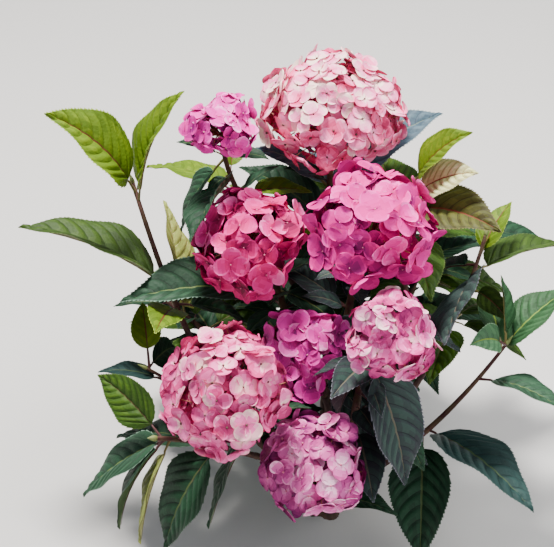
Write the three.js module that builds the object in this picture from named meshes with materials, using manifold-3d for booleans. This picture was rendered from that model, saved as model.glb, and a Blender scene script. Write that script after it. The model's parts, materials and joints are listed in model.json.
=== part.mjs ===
// Hydrangea shrub in full bloom, as a three.js scene graph. Millimetres, +Z up.
//
// The plant grows from a short woody crown. Its flat underside is the cut at ground level, and the
// origin is at the middle of it. The view that the plant is known by looks along +Y, with +X to the
// right. Bearings are degrees from +X towards +Y, and rises are degrees above the level.
//
// Twelve canes leave the crown, and seven side canes leave those. Every cane ends in a leafy shoot,
// and eleven of those carry a round flower head. The leaves grow by one seeded rule: each leaf tries a
// few headings, keeps the first that is clear of its neighbours, and is left out when none is.

import * as THREE from 'three';
import { ConvexGeometry } from 'three/addons/geometries/ConvexGeometry.js';
import { mergeVertices } from 'three/addons/utils/BufferGeometryUtils.js';
import Module from 'manifold-3d';

const wasm = await Module();
wasm.setup();

// Crown and canes
const HEART = new THREE.Vector3(0, 0, 10);   // the point that the canes spread from
const CANE_ROOT = 10;          // where a cane's own axis starts, from the heart
const STUB = 34;               // length of each cane that is one piece with the crown
const SEAT = 0.3;              // clearance between two pieces that meet
const LIMB_SIDES = 6;
const RING_STEP = 30;          // length of limb between two rings
const CROWN_SIDES = 20;
const FLARE_LOBES = 5;
const FLARE_DEPTH = 0.13;      // how far the root flare swells between its lobes, by radius
// radius and height of the crown's outline, from the flat cut upwards
const CROWN_OUTLINE = [[0, 0], [19, 0], [15.5, 3], [12.6, 8], [11.2, 14], [9, 20], [5, 24], [0, 25]];

// Leaves
const PETIOLE = 13;            // length of a leaf's stalk
const PETIOLE_RADIUS = 1.2;
const LEAF_HALF_THICK = 0.65;
const LEAF_SIDES = 4;          // points in a ring of a leaf: two edges, the upper side and the underside
const BLADE_BASE = 0.62;       // how roundly the blade widens from its stalk: less is rounder
const BLADE_TIP = 1.2;          // how it narrows to its tip: more is slimmer
const BROADEST = BLADE_BASE / (BLADE_BASE + BLADE_TIP);   // share of the blade where it is broadest
// least half width over the length, for the first and second leaf of a pair and the small ones
const BREADTH = { first: 0.255, second: 0.235, small: 0.225 };
const FULL_LENGTH = 86;        // a longer leaf has one more row
const FULL_ROWS = [0, 0.12, 0.38, 0.72, 1];
const SMALL_ROWS = [0, 0.34, 0.72, 1];
const TEST_ROWS = SMALL_ROWS;
const SAMPLE_ROWS = 15;
const SAMPLE_SIDES = 3;
const OWN_CLEAR = 0.22;        // share of the blade that may lie close to its own shoot

// Clearances that a leaf keeps
const GAP_LEAF = 2.6;
const GAP_LIMB = 1.6;
const GAP_BLOOM = 1.2;
const GAP_GROUND = 3;
const REACH_SHARE = 0.58;      // two leaves further apart than these shares of their lengths never meet
// turn of the bearing, change of the rise, and share of the length, in the order they are tried
const TRIES = [
  [0, 0, 1], [22, -8, 0.9], [-22, -8, 0.9], [0, -26, 0.78], [0, 24, 0.78],
  [40, 6, 0.7], [-40, 6, 0.7], [62, -12, 0.66], [-62, -12, 0.66], [30, -40, 0.6],
];
const SMALL_TRIES = 5;

// Flower heads, by their radius
const BLOOM_DEPTH = 0.8;       // height of the dome over its radius
const CORE = 0.74;             // radius of the hidden middle
const SKIRT = -0.36;           // height of the lowest florets, from the dome's middle
const NECK = 0.95;             // depth of the shoot's tip below the dome's middle
const STALK_END = 0.3;
const FLORET_CENTRE = 0.93;
const FLORET_GAP = 0.8;
const PETALS = 4;
const GOLDEN_ANGLE = Math.PI * (3 - Math.sqrt(5));

// Every shoot: the bearing and rise it leaves at, the middle of its flower head or its tip, the
// bearing and rise it arrives at, the radii at its foot and tip, the share where its leaves begin,
// the radius of its flower head, and its leaf pairs. A pair is the share along the shoot, the
// bearing, rise and length of the first leaf, the second leaf's length over the first's and, where
// the photograph shows it, the first leaf's twist. A side shoot names the shoot it leaves and the
// share along it.
const SHOOTS = {
  front_left: {
    out: [226, 50], tip: [-79, -108, 201], arrive: [232, 50], radii: [4.6, 2.4], foliage: 0.5, bloom: 50,
    pairs: [[0.86, 150, -5, 84, 1], [0.74, 320, 0, 64, 0], [0.931, 241, -39, 85, 1, 56]],
  },
  front: {
    out: [266, 46], tip: [-12, -112, 134], arrive: [268, 62], radii: [4.2, 2.2], foliage: 0.5, bloom: 42,
    pairs: [[0.62, 330, 5, 62, 0], [0.78, 100, -20, 54, 0]],
  },
  front_right: {
    out: [305, 56], tip: [42, -101, 245], arrive: [300, 55], radii: [4.4, 2.3], foliage: 0.45, bloom: 36,
    pairs: [[0.943, 317, -70, 96, 0.8, 4], [0.72, 330, -20, 88, 1], [0.54, 220, -18, 88, 1]],
  },
  centre: {
    out: [290, 80], tip: [30, -28, 294], arrive: [290, 65], radii: [4.8, 2.6], foliage: 0.5, bloom: 51,
    pairs: [[0.76, 330, -6, 90, 0.9], [0.62, 250, 0, 90, 1]],
  },
  upright: {
    out: [75, 76], tip: [2, 78, 333], arrive: [270, 84], radii: [5, 2.6], foliage: 0.55, bloom: 59,
    pairs: [
      [0.8, 165, 28, 78, 1], [0.944, 16, 28, 99, 0.8, 14], [0.68, 80, 5, 90, 1],
      [0.6, 250, -10, 84, 1],
    ],
  },
  left: {
    out: [195, 66], tip: [-62, -2, 264], arrive: [225, 60], radii: [4.6, 2.5], foliage: 0.48, bloom: 47,
    pairs: [[0.901, 193, 2, 116, 1, -4], [0.8, 135, 5, 80, 0.9], [0.6, 250, -15, 86, 1]],
  },
  far_left: {
    out: [174, 38], tip: [-155, 56, 284], arrive: [118, 50], radii: [3.8, 1.6], foliage: 0.6, bloom: 0,
    pairs: [
      [0.971, 207, 49, 100, 0, -39], [0.948, 3, 66, 93, 0, 8], [0.711, 174, 20, 116, 0, 12],
      [0.645, 259, 15, 59, 0, -12], [0.66, 20, -35, 62, 0],
    ],
  },
  far_right: {
    out: [338, 42], tip: [138, -31, 190], arrive: [15, 56], radii: [3.4, 1.3], foliage: 0.46, bloom: 0,
    pairs: [
      [0.926, 31, 27, 72, 0, -6], [0.994, 229, 24, 45, 0, -54], [0.97, 95, 28, 66, 0],
      [0.82, 323, -2, 66, 0, -15], [0.516, 311, -8, 108, 0, -17], [0.485, 267, -46, 91, 0, 18],
      [0.994, 99, 57, 45, 0, 56],
    ],
  },
  right: {
    out: [10, 52], tip: [124, 33, 250], arrive: [60, 60], radii: [3.6, 1.4], foliage: 0.62, bloom: 0,
    pairs: [
      [0.897, 53, 30, 48, 0, -17], [0.876, 28, -4, 85, 0, -16], [0.9, 135, -42, 61, 0, 2],
      [0.865, 254, 3, 103, 0, 51], [0.7, 60, -2, 92, 0.7], [0.824, 308, -15, 38, 0, 49],
    ],
  },
  back_right: {
    out: [45, 50], tip: [95, 118, 205], arrive: [50, 50], radii: [4.4, 2], foliage: 0.55, bloom: 0,
    pairs: [
      [0.99, 60, -15, 74, 0.9], [0.93, 15, -12, 96, 0.9], [0.8, 50, -20, 104, 0.9],
      [0.66, 20, -20, 84, 1], [0.6, 100, -20, 90, 0], [0.6, 50, -40, 92, 1],
    ],
  },
  back: {
    out: [95, 50], tip: [17, 178, 262], arrive: [92, 60], radii: [4.6, 2.4], foliage: 0.5, bloom: 42,
    pairs: [
      [0.82, 175, -5, 96, 1], [0.7, 85, -12, 104, 1], [0.58, 10, -14, 96, 1],
      [0.92, 130, 5, 84, 0.9], [0.56, 290, -20, 90, 0.9], [0.53, 120, -42, 92, 1],
    ],
  },
  back_left: {
    out: [138, 52], tip: [-64, 132, 186], arrive: [120, 50], radii: [4.4, 2.3], foliage: 0.5, bloom: 40,
    pairs: [
      [0.82, 60, -5, 96, 1], [0.68, 150, -12, 104, 1], [0.56, 240, -14, 90, 1],
      [0.93, 100, 8, 78, 0], [0.75, 330, 5, 80, 0], [0.62, 100, -25, 90, 0.9],
      [0.53, 130, -45, 90, 1],
    ],
  },
  centre_low: {
    parent: 'centre', share: 0.3,
    out: [250, 50], tip: [-20, -43, 188], arrive: [255, 40], radii: [2.8, 2], foliage: 0.4, bloom: 36,
    pairs: [[0.571, 343, -52, 69, 0.9, 57], [0.85, 300, -5, 70, 1]],
  },
  upper_left: {
    parent: 'upright', share: 0.42,
    out: [138, 52], tip: [-84, 29, 349], arrive: [262, 66], radii: [2.8, 1.9], foliage: 0.45, bloom: 29,
    pairs: [
      [0.734, 142, -9, 85, 0.8, 14], [0.821, 252, -4, 85, 0, 41], [0.943, 179, -65, 63, 0, -7],
    ],
  },
  low_left: {
    parent: 'front_left', share: 0.36,
    out: [205, 30], tip: [-132, -109, 158], arrive: [215, 25], radii: [2.8, 1.8], foliage: 0.42, bloom: 0,
    pairs: [
      [0.96, 136, 15, 63, 0, -57], [0.921, 172, -45, 86, 0, -3], [0.903, 232, -66, 77, 0, 49],
      [0.515, 172, -11, 103, 0, 5], [0.939, 199, -66, 79, 0, 24], [0.55, 199, -66, 94, 0, -12],
    ],
  },
  behind_right: {
    parent: 'right', share: 0.4,
    out: [75, 70], tip: [66, 54, 282], arrive: [50, 65], radii: [2.6, 1.6], foliage: 0.45, bloom: 0,
    pairs: [
      [0.991, 333, 49, 66, 0, 28], [0.934, 324, 33, 62, 0, 42], [0.885, 318, 8, 83, 0.8, 25],
      [0.78, 100, 5, 84, 1], [0.6, 20, 0, 76, 1],
    ],
  },
  back_low: {
    parent: 'back', share: 0.36,
    out: [75, 35], tip: [66, 150, 150], arrive: [65, 45], radii: [2.8, 2], foliage: 0.4, bloom: 36,
    pairs: [
      [0.8, 350, -8, 92, 1], [0.6, 70, -20, 100, 1], [0.45, 160, -10, 86, 1], [0.92, 30, 5, 84, 0.9],
      [0.7, 120, 0, 84, 1], [0.5, 40, -45, 84, 1],
    ],
  },
  far_back_left: {
    parent: 'back_left', share: 0.38,
    out: [170, 45], tip: [-140, 95, 150], arrive: [165, 35], radii: [2.6, 1.6], foliage: 0.45, bloom: 0,
    pairs: [
      [0.99, 75, -20, 76, 0], [0.816, 106, 45, 89, 0, 53], [0.75, 120, -20, 88, 0],
      [0.58, 110, -20, 90, 1], [0.66, 60, 0, 76, 0.9],
    ],
  },
  mid_left: {
    parent: 'far_left', share: 0.34,
    out: [205, 12], tip: [-144, -24, 161], arrive: [180, 30], radii: [2.2, 1.2], foliage: 0.6, bloom: 0,
    pairs: [[0.728, 182, 7, 46, 0, 7], [0.971, 99, 30, 42, 0, 0], [0.987, 70, -18, 47, 0, 60]],
  },
};

// Colours
const BARK = { color: 0x6b4a3f, roughness: 0.85, metalness: 0 };
const CANE = { color: 0x5a2f34, roughness: 0.6, metalness: 0 };
const LEAF = { color: 0x3f6b33, roughness: 0.55, metalness: 0 };
const PETAL = { color: 0xe26d9a, roughness: 0.6, metalness: 0 };

const rad = THREE.MathUtils.degToRad;

// A repeatable number from 0 to 1 for three whole numbers
function chance(a, b, c = 0) {
  const wave = Math.sin(a * 127.1 + b * 311.7 + c * 74.7) * 43758.5453;
  return wave - Math.floor(wave);
}

function heading(bearing, rise) {
  const level = Math.cos(rad(rise));
  return new THREE.Vector3(Math.cos(rad(bearing)) * level, Math.sin(rad(bearing)) * level, Math.sin(rad(rise)));
}

// A point moved along a direction
function along(point, direction, length) {
  return point.clone().addScaledVector(direction, length);
}

function bloomAxis(shoot) {
  return heading(...shoot.arrive);
}

function bloomMiddle(shoot) {
  return new THREE.Vector3(...shoot.tip);
}

// The curve of a shoot's axis, from the crown or the parent shoot to the tip or the neck of its bloom
function shootRoute(shoot, routes) {
  const out = heading(...shoot.out);
  const axis = bloomAxis(shoot);
  const start = shoot.parent ? routes[shoot.parent].getPoint(shoot.share) : along(HEART, out, CANE_ROOT);
  const end = along(bloomMiddle(shoot), axis, -shoot.bloom * NECK);
  const reach = start.distanceTo(end);
  return new THREE.CubicBezierCurve3(start, along(start, out, reach * 0.36), along(end, axis, -reach * 0.32), end);
}

function allRoutes() {
  const routes = {};
  for (const [name, shoot] of Object.entries(SHOOTS)) {
    routes[name] = shootRoute(shoot, routes);
  }
  return routes;
}

const ROUTES = allRoutes();

function radiusAt(shoot, share) {
  return THREE.MathUtils.lerp(shoot.radii[0], shoot.radii[1], share);
}

// The share that lies a length further along a route
function shifted(route, share, length) {
  const step = 0.001;
  const speed = route.getPoint(share + step).distanceTo(route.getPoint(share - step)) / (2 * step);
  return share + length / speed;
}

// The share at which a cane leaves its stub, found by halving
function stubShare(route) {
  let low = 0;
  let high = 0.5;
  for (let i = 0; i < 30; i += 1) {
    const middle = (low + high) / 2;
    if (route.getPoint(middle).distanceTo(HEART) < CANE_ROOT + STUB) {
      low = middle;
    } else {
      high = middle;
    }
  }
  return low;
}

// A closed body from its points and triangles
function body(points, triangles) {
  return new wasm.Manifold(new wasm.Mesh({
    numProp: 3,
    vertProperties: new Float32Array(points.flatMap((p) => [p.x, p.y, p.z])),
    triVerts: new Uint32Array(triangles.flat()),
  }));
}

function bodyOfGeometry(geometry) {
  geometry.deleteAttribute('normal');
  geometry.deleteAttribute('uv');
  const merged = mergeVertices(geometry);
  return new wasm.Manifold(new wasm.Mesh({
    numProp: 3,
    vertProperties: new Float32Array(merged.attributes.position.array),
    triVerts: new Uint32Array(merged.index.array),
  }));
}

// The triangles between rings of equal size in a row
function loftWalls(ringCount, sides) {
  const triangles = [];
  for (let ring = 0; ring < ringCount - 1; ring += 1) {
    for (let i = 0; i < sides; i += 1) {
      const a = ring * sides + i;
      const b = ring * sides + (i + 1) % sides;
      triangles.push([a, b, a + sides], [b, b + sides, a + sides]);
    }
  }
  return triangles;
}

// A flat fan that closes the first ring
function startCap(sides) {
  return Array.from({ length: sides - 2 }, (_, i) => [0, i + 2, i + 1]);
}

// A flat fan that closes the last ring
function endCap(ringCount, sides) {
  const last = (ringCount - 1) * sides;
  return Array.from({ length: sides - 2 }, (_, i) => [last, last + i + 1, last + i + 2]);
}

function closedLoft(points, sides) {
  const rings = points.length / sides;
  return body(points, [...loftWalls(rings, sides), ...startCap(sides), ...endCap(rings, sides)]);
}

// One ring of a limb, square to its axis
function limbRing(centre, tangent, sideways, radius) {
  const across = sideways.clone().addScaledVector(tangent, -sideways.dot(tangent)).normalize();
  const up = new THREE.Vector3().crossVectors(tangent, across);
  const points = [];
  for (let i = 0; i < LIMB_SIDES; i += 1) {
    const turn = (i / LIMB_SIDES) * 2 * Math.PI;
    const spoke = across.clone().multiplyScalar(Math.cos(turn)).addScaledVector(up, Math.sin(turn));
    points.push(along(centre, spoke, radius));
  }
  return points;
}

// A tapering limb along a shoot's route, between two shares, thicker by a margin where one is asked for
function limb(name, from, to, margin = 0) {
  const shoot = SHOOTS[name];
  const route = ROUTES[name];
  const sideways = heading(shoot.out[0] + 90, 0);
  const rings = Math.max(2, 1 + Math.ceil((route.getLength() * (to - from)) / RING_STEP));
  const points = [];
  for (let i = 0; i < rings; i += 1) {
    const share = THREE.MathUtils.lerp(from, to, i / (rings - 1));
    const radius = radiusAt(shoot, share) + margin;
    points.push(...limbRing(route.getPoint(share), route.getTangent(share), sideways, radius));
  }
  return closedLoft(points, LIMB_SIDES);
}

// A straight round stalk between two points
function stalk(start, end, sideways, radius) {
  const tangent = end.clone().sub(start).normalize();
  const points = [...limbRing(start, tangent, sideways, radius), ...limbRing(end, tangent, sideways, radius)];
  return closedLoft(points, LIMB_SIDES);
}

// Joined bodies, kept as their one largest shell: a sealed hollow is filled and a loose scrap is dropped
function fused(bodies) {
  const shells = wasm.Manifold.union(bodies).decompose();
  return shells.reduce((best, shell) => (shell.volume() > best.volume() ? shell : best));
}

// A leaf: a stalk and a blade that arches over, twists and folds along its midrib
class Leaf {
  constructor(shoot, root, bearing, rise, length, seed, kind, twist) {
    Object.assign(this, { shoot, root, bearing, rise, length, seed, kind, given: twist });
    this.bend = rad(26 + 16 * chance(...seed, 1));
    this.twist = rad(twist ?? (chance(...seed, 2) - 0.5) * 36);
    this.fold = rad(8 + 14 * chance(...seed, 3));
    this.broad = length * (BREADTH[kind] + 0.035 * chance(...seed, 4));
    this.stalk = PETIOLE * (0.8 + 0.5 * chance(...seed, 5)) * (kind === 'small' ? 0.6 : 1);
    this.startRise = rad(rise) + this.bend / 2;
    this.ahead = heading(bearing, 0);
    this.sideways = heading(bearing + 90, 0);
    this.blade = along(root, heading(bearing, THREE.MathUtils.radToDeg(this.startRise)), this.stalk);
    this.rows = length < FULL_LENGTH ? SMALL_ROWS : FULL_ROWS;
  }

  // The midrib, an arc of a circle
  midrib(t) {
    const level = (Math.sin(this.startRise) - Math.sin(this.startRise - this.bend * t)) / this.bend;
    const rise = (Math.cos(this.startRise - this.bend * t) - Math.cos(this.startRise)) / this.bend;
    const point = along(this.blade, this.ahead, level * this.length);
    point.z += rise * this.length;
    return point;
  }

  frame(t) {
    const angle = this.startRise - this.bend * t;
    const tangent = this.ahead.clone().multiplyScalar(Math.cos(angle));
    tangent.z += Math.sin(angle);
    const upright = new THREE.Vector3().crossVectors(tangent, this.sideways);
    const side = this.sideways.clone().multiplyScalar(Math.cos(this.twist));
    side.addScaledVector(upright, Math.sin(this.twist));
    return { side, normal: new THREE.Vector3().crossVectors(tangent, side) };
  }

  halfWidth(t) {
    if (t <= 0 || t >= 1) {
      return 0;
    }
    return this.broad * (t / BROADEST) ** BLADE_BASE * ((1 - t) / (1 - BROADEST)) ** BLADE_TIP;
  }

  // A point of the blade, with u from -1 at one edge to 1 at the other
  at(t, u) {
    const { side, normal } = this.frame(t);
    const width = this.halfWidth(t);
    const point = along(this.midrib(t), side, u * width * Math.cos(this.fold));
    return point.addScaledVector(normal, Math.abs(u) * width * Math.sin(this.fold));
  }

  samples(from) {
    const points = [];
    for (let i = 0; i <= SAMPLE_ROWS; i += 1) {
      const t = i / SAMPLE_ROWS;
      if (t < from) {
        continue;
      }
      if (i === 0 || i === SAMPLE_ROWS) {
        points.push(this.midrib(t));
        continue;
      }
      for (let j = -SAMPLE_SIDES; j <= SAMPLE_SIDES; j += 1) {
        points.push(this.at(t, j / SAMPLE_SIDES));
      }
    }
    return points;
  }

  // The blade as a few flat triangles, from the stalk to the tip
  facets() {
    const facets = [];
    for (let i = 0; i < TEST_ROWS.length - 1; i += 1) {
      const near = [-1, 0, 1].map((u) => this.at(TEST_ROWS[i], u));
      const far = [-1, 0, 1].map((u) => this.at(TEST_ROWS[i + 1], u));
      for (const side of [0, 1]) {
        facets.push(new THREE.Triangle(near[side], near[side + 1], far[side]));
        facets.push(new THREE.Triangle(near[side + 1], far[side + 1], far[side]));
      }
    }
    return facets.filter((facet) => facet.getArea() > 1e-6);
  }

  // A ring of four points: one edge, the underside, the other edge and the upper side
  ring(middle, left, right, normal, half) {
    return [left, along(middle, normal, -half), right, along(middle, normal, half)];
  }

  stalkRing(centre) {
    const { side, normal } = this.frame(0);
    const left = along(centre, side, -PETIOLE_RADIUS);
    const right = along(centre, side, PETIOLE_RADIUS);
    return this.ring(centre, left, right, normal, PETIOLE_RADIUS);
  }

  solid() {
    const points = [...this.stalkRing(this.root), ...this.stalkRing(this.blade)];
    for (const t of this.rows.slice(1, -1)) {
      const { normal } = this.frame(t);
      points.push(...this.ring(this.midrib(t), this.at(t, -1), this.at(t, 1), normal, LEAF_HALF_THICK));
    }
    const rings = points.length / LEAF_SIDES;
    const walls = [...loftWalls(rings, LEAF_SIDES), ...startCap(LEAF_SIDES)];
    const tip = points.length;
    points.push(this.midrib(1));
    for (let i = 0; i < LEAF_SIDES; i += 1) {
      walls.push([tip - LEAF_SIDES + i, tip - LEAF_SIDES + (i + 1) % LEAF_SIDES, tip]);
    }
    return body(points, walls);
  }
}

// The parts of a limb that leaves keep clear of: its segments and their radii, up into the bloom
function limbSegments(name) {
  const shoot = SHOOTS[name];
  const steps = 24;
  const points = [];
  for (let i = 0; i <= steps; i += 1) {
    points.push({ at: ROUTES[name].getPoint(i / steps), radius: radiusAt(shoot, i / steps) });
  }
  if (shoot.bloom) {
    points.push({ at: along(bloomMiddle(shoot), bloomAxis(shoot), -shoot.bloom / 2), radius: shoot.radii[1] });
  }
  return points.slice(1).map((p, i) => ({ line: new THREE.Line3(points[i].at, p.at), radius: points[i].radius }));
}

function inBloom(point, shoot) {
  const offset = point.clone().sub(bloomMiddle(shoot));
  const height = offset.dot(bloomAxis(shoot));
  const outward = Math.sqrt(Math.max(0, offset.lengthSq() - height * height));
  const share = Math.hypot(outward / (shoot.bloom + GAP_BLOOM), height / (shoot.bloom * BLOOM_DEPTH + GAP_BLOOM));
  return (share < 1 && height > SKIRT * shoot.bloom - GAP_BLOOM) || share < CORE + 0.03;
}

function hitsLimb(leaf, points, latePoints, limbs) {
  const nearest = new THREE.Vector3();
  for (const [name, segments] of Object.entries(limbs)) {
    const tested = name === leaf.shoot ? latePoints : points;
    for (const { line, radius } of segments) {
      for (const point of tested) {
        if (line.closestPointToPoint(point, true, nearest).distanceTo(point) < radius + GAP_LIMB) {
          return true;
        }
      }
    }
  }
  return false;
}

function hitsLeaf(leaf, points, latePoints, kept) {
  const nearest = new THREE.Vector3();
  const middle = leaf.midrib(0.5);
  for (const other of kept) {
    if (other.midrib(0.5).distanceTo(middle) > REACH_SHARE * (leaf.length + other.length)) {
      continue;
    }
    const same = other.shoot === leaf.shoot;
    const tested = same ? latePoints : points;
    const facets = same ? other.tested.slice(2) : other.tested;
    for (const facet of facets) {
      for (const point of tested) {
        if (facet.closestPointToPoint(point, nearest).distanceTo(point) < GAP_LEAF) {
          return true;
        }
      }
    }
  }
  return false;
}

function isClear(leaf, limbs, kept) {
  const points = leaf.samples(0);
  if (points.some((point) => point.z < GAP_GROUND)) {
    return false;
  }
  const blooms = Object.values(SHOOTS).filter((shoot) => shoot.bloom);
  if (points.some((point) => blooms.some((shoot) => inBloom(point, shoot)))) {
    return false;
  }
  const latePoints = leaf.samples(OWN_CLEAR);
  return !hitsLimb(leaf, points, latePoints, limbs) && !hitsLeaf(leaf, points, latePoints, kept);
}

// All leaves that the rule offers: the first of every pair, then the second, then two small ones
function offeredLeaves() {
  const first = [];
  const second = [];
  const third = [];
  Object.entries(SHOOTS).forEach(([name, shoot], i) => {
    shoot.pairs.forEach(([share, bearing, rise, length, partner, twist], j) => {
      const root = ROUTES[name].getPoint(share);
      first.push(new Leaf(name, root, bearing, rise, length, [i, j * 4], 'first', twist));
      if (partner === 0) {
        return;
      }
      const opposite = bearing + 180 + 30 * (chance(i, j, 7) - 0.5);
      second.push(new Leaf(name, root, opposite, rise / 2 - 8, length * partner, [i, j * 4 + 1], 'second'));
      for (const side of [0, 1]) {
        const turned = bearing + 90 + 180 * side + 50 * (chance(i, j, 8 + side) - 0.5);
        const tilt = 10 - 40 * chance(i, j, 10 + side);
        const size = 42 + 26 * chance(i, j, 12 + side);
        third.push(new Leaf(name, root, turned, tilt, size, [i, j * 4 + 2 + side], 'small'));
      }
    });
  });
  return [...first, ...second, ...third];
}

function grownLeaves() {
  const limbs = Object.fromEntries(Object.keys(SHOOTS).map((name) => [name, limbSegments(name)]));
  const kept = [];
  for (const offer of offeredLeaves()) {
    for (const [turn, tilt, share] of offer.kind === 'small' ? TRIES.slice(0, SMALL_TRIES) : TRIES) {
      const { shoot, root, bearing, rise, length, seed, kind, given } = offer;
      const leaf = new Leaf(shoot, root, bearing + turn, rise + tilt, length * share, seed, kind, given);
      if (isClear(leaf, limbs, kept)) {
        leaf.tested = leaf.facets();
        kept.push(leaf);
        break;
      }
    }
  }
  return kept;
}

// The woody crown: a flared foot with the stub of every cane that leaves it
function crown() {
  const outline = CROWN_OUTLINE.map(([radius, height]) => new THREE.Vector2(radius, height));
  const geometry = new THREE.LatheGeometry(outline, CROWN_SIDES);
  geometry.rotateX(Math.PI / 2);
  const position = geometry.attributes.position;
  for (let i = 0; i < position.count; i += 1) {
    const turn = Math.atan2(position.getY(i), position.getX(i));
    const swell = 1 + FLARE_DEPTH * Math.cos(FLARE_LOBES * turn) * Math.max(0, 1 - position.getZ(i) / STUB);
    position.setXYZ(i, position.getX(i) * swell, position.getY(i) * swell, Math.max(0, position.getZ(i)));
  }
  const bodies = [bodyOfGeometry(geometry)];
  for (const [name, shoot] of Object.entries(SHOOTS)) {
    if (!shoot.parent) {
      bodies.push(limb(name, 0, shifted(ROUTES[name], stubShare(ROUTES[name]), -SEAT / 2)));
    }
  }
  return fused(bodies);
}

// A cane from its stub, or from its parent's bark, to where its leaves begin
function cane(name) {
  const shoot = SHOOTS[name];
  const end = shifted(ROUTES[name], shoot.foliage, -SEAT / 2);
  if (!shoot.parent) {
    return limb(name, shifted(ROUTES[name], stubShare(ROUTES[name]), SEAT / 2), end);
  }
  const parentEnd = SHOOTS[shoot.parent].foliage;
  return fused([limb(name, 0, end).subtract(limb(shoot.parent, 0, parentEnd, SEAT))]);
}

// A mass of leaves: the shoot that carries them and every leaf that it kept
function leafMass(name, leaves) {
  const start = shifted(ROUTES[name], SHOOTS[name].foliage, SEAT / 2);
  const own = leaves.filter((leaf) => leaf.shoot === name);
  return fused([limb(name, start, 1), ...own.map((leaf) => leaf.solid())]);
}

// Directions of the florets over the dome, by the golden angle
function floretDirections(count) {
  const directions = [];
  for (let i = 0; i < count; i += 1) {
    const height = 1 - ((i + 0.5) * (1 - SKIRT)) / count;
    const outward = Math.sqrt(1 - height * height);
    const turn = i * GOLDEN_ANGLE;
    directions.push(new THREE.Vector3(Math.cos(turn) * outward, Math.sin(turn) * outward, height));
  }
  return directions;
}

// Points in a ring round a direction, at an angle from it
function ringRound(direction, angle, count, phase) {
  const helper = Math.abs(direction.z) > 0.9 ? new THREE.Vector3(1, 0, 0) : new THREE.Vector3(0, 0, 1);
  const across = new THREE.Vector3().crossVectors(direction, helper).normalize();
  const up = new THREE.Vector3().crossVectors(direction, across);
  const points = [];
  for (let i = 0; i < count; i += 1) {
    const turn = phase + (i / count) * 2 * Math.PI;
    const point = direction.clone().multiplyScalar(Math.cos(angle));
    point.addScaledVector(across, Math.sin(angle) * Math.cos(turn));
    point.addScaledVector(up, Math.sin(angle) * Math.sin(turn));
    points.push(point);
  }
  return points;
}

// The knobbly surface of a flower head: each knob is a direction and its share of the dome's radius
function bloomKnobs(radius, seed) {
  const count = Math.round(radius * 0.52 - 4);
  const cell = Math.sqrt((2 * (1 - SKIRT)) / count);
  const knobs = [];
  const add = (direction, share, spacing) => {
    if (knobs.every((knob) => knob.direction.angleTo(direction) > spacing)) {
      knobs.push({ direction, share });
    }
  };
  const centres = floretDirections(count);
  centres.forEach((direction, i) => {
    add(direction, FLORET_CENTRE, 0);
    for (const petal of ringRound(direction, cell * 0.55, PETALS, chance(seed, i) * Math.PI)) {
      add(petal, 1, cell * 0.3);
    }
  });
  centres.forEach((direction, i) => {
    for (const dip of ringRound(direction, cell * 0.95, PETALS, chance(seed, i) * Math.PI + Math.PI / PETALS)) {
      if (dip.z > SKIRT) {
        add(dip, FLORET_GAP, cell * 0.36);
      }
    }
  });
  const below = new THREE.Vector3(0, 0, -1);
  ringRound(below, rad(52), 7, 0.2).forEach((direction) => add(direction, CORE * 0.98, 0.1));
  ringRound(below, rad(24), 5, 0.5).forEach((direction) => add(direction, CORE * 0.9, 0.1));
  return knobs;
}

// A flower head: a dome of florets, stretched over the hull of their directions, on its own stalk
function bloom(name, seed) {
  const shoot = SHOOTS[name];
  const knobs = bloomKnobs(shoot.bloom, seed);
  const axis = bloomAxis(shoot);
  const middle = bloomMiddle(shoot);
  const turn = new THREE.Quaternion().setFromUnitVectors(new THREE.Vector3(0, 0, 1), axis);
  const geometry = new ConvexGeometry(knobs.map((knob) => knob.direction));
  const position = geometry.attributes.position;
  const corner = new THREE.Vector3();
  for (let i = 0; i < position.count; i += 1) {
    corner.fromBufferAttribute(position, i);
    const knob = knobs.find((candidate) => candidate.direction.distanceToSquared(corner) < 1e-9);
    corner.multiplyScalar(knob.share * shoot.bloom);
    corner.z *= BLOOM_DEPTH;
    corner.applyQuaternion(turn).add(middle);
    position.setXYZ(i, corner.x, corner.y, corner.z);
  }
  const foot = along(middle, axis, SEAT - shoot.bloom * NECK);
  const head = along(middle, axis, -shoot.bloom * STALK_END);
  const sideways = heading(shoot.out[0] + 90, 0);
  return fused([bodyOfGeometry(geometry), stalk(foot, head, sideways, shoot.radii[1])]);
}

function mesh(name, solid, look) {
  const { vertProperties, triVerts } = solid.getMesh();
  const geometry = new THREE.BufferGeometry();
  geometry.setAttribute('position', new THREE.BufferAttribute(new Float32Array(vertProperties), 3));
  geometry.setIndex(new THREE.BufferAttribute(new Uint32Array(triVerts), 1));
  geometry.computeVertexNormals();
  const result = new THREE.Mesh(geometry, new THREE.MeshStandardMaterial(look));
  result.name = name;
  return result;
}

const shrub = new THREE.Group();
shrub.name = 'hydrangea_shrub';
shrub.add(mesh('crown', crown(), BARK));
const leaves = grownLeaves();
Object.entries(SHOOTS).forEach(([name, shoot], i) => {
  shrub.add(mesh(`cane_${name}`, cane(name), CANE));
  shrub.add(mesh(`leaves_${name}`, leafMass(name, leaves), LEAF));
  if (shoot.bloom) {
    shrub.add(mesh(`bloom_${name}`, bloom(name, i), PETAL));
  }
});

export default shrub;
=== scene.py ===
"""Hydrangea shrub in full bloom: bark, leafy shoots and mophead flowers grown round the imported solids."""

import json
import math

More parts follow.
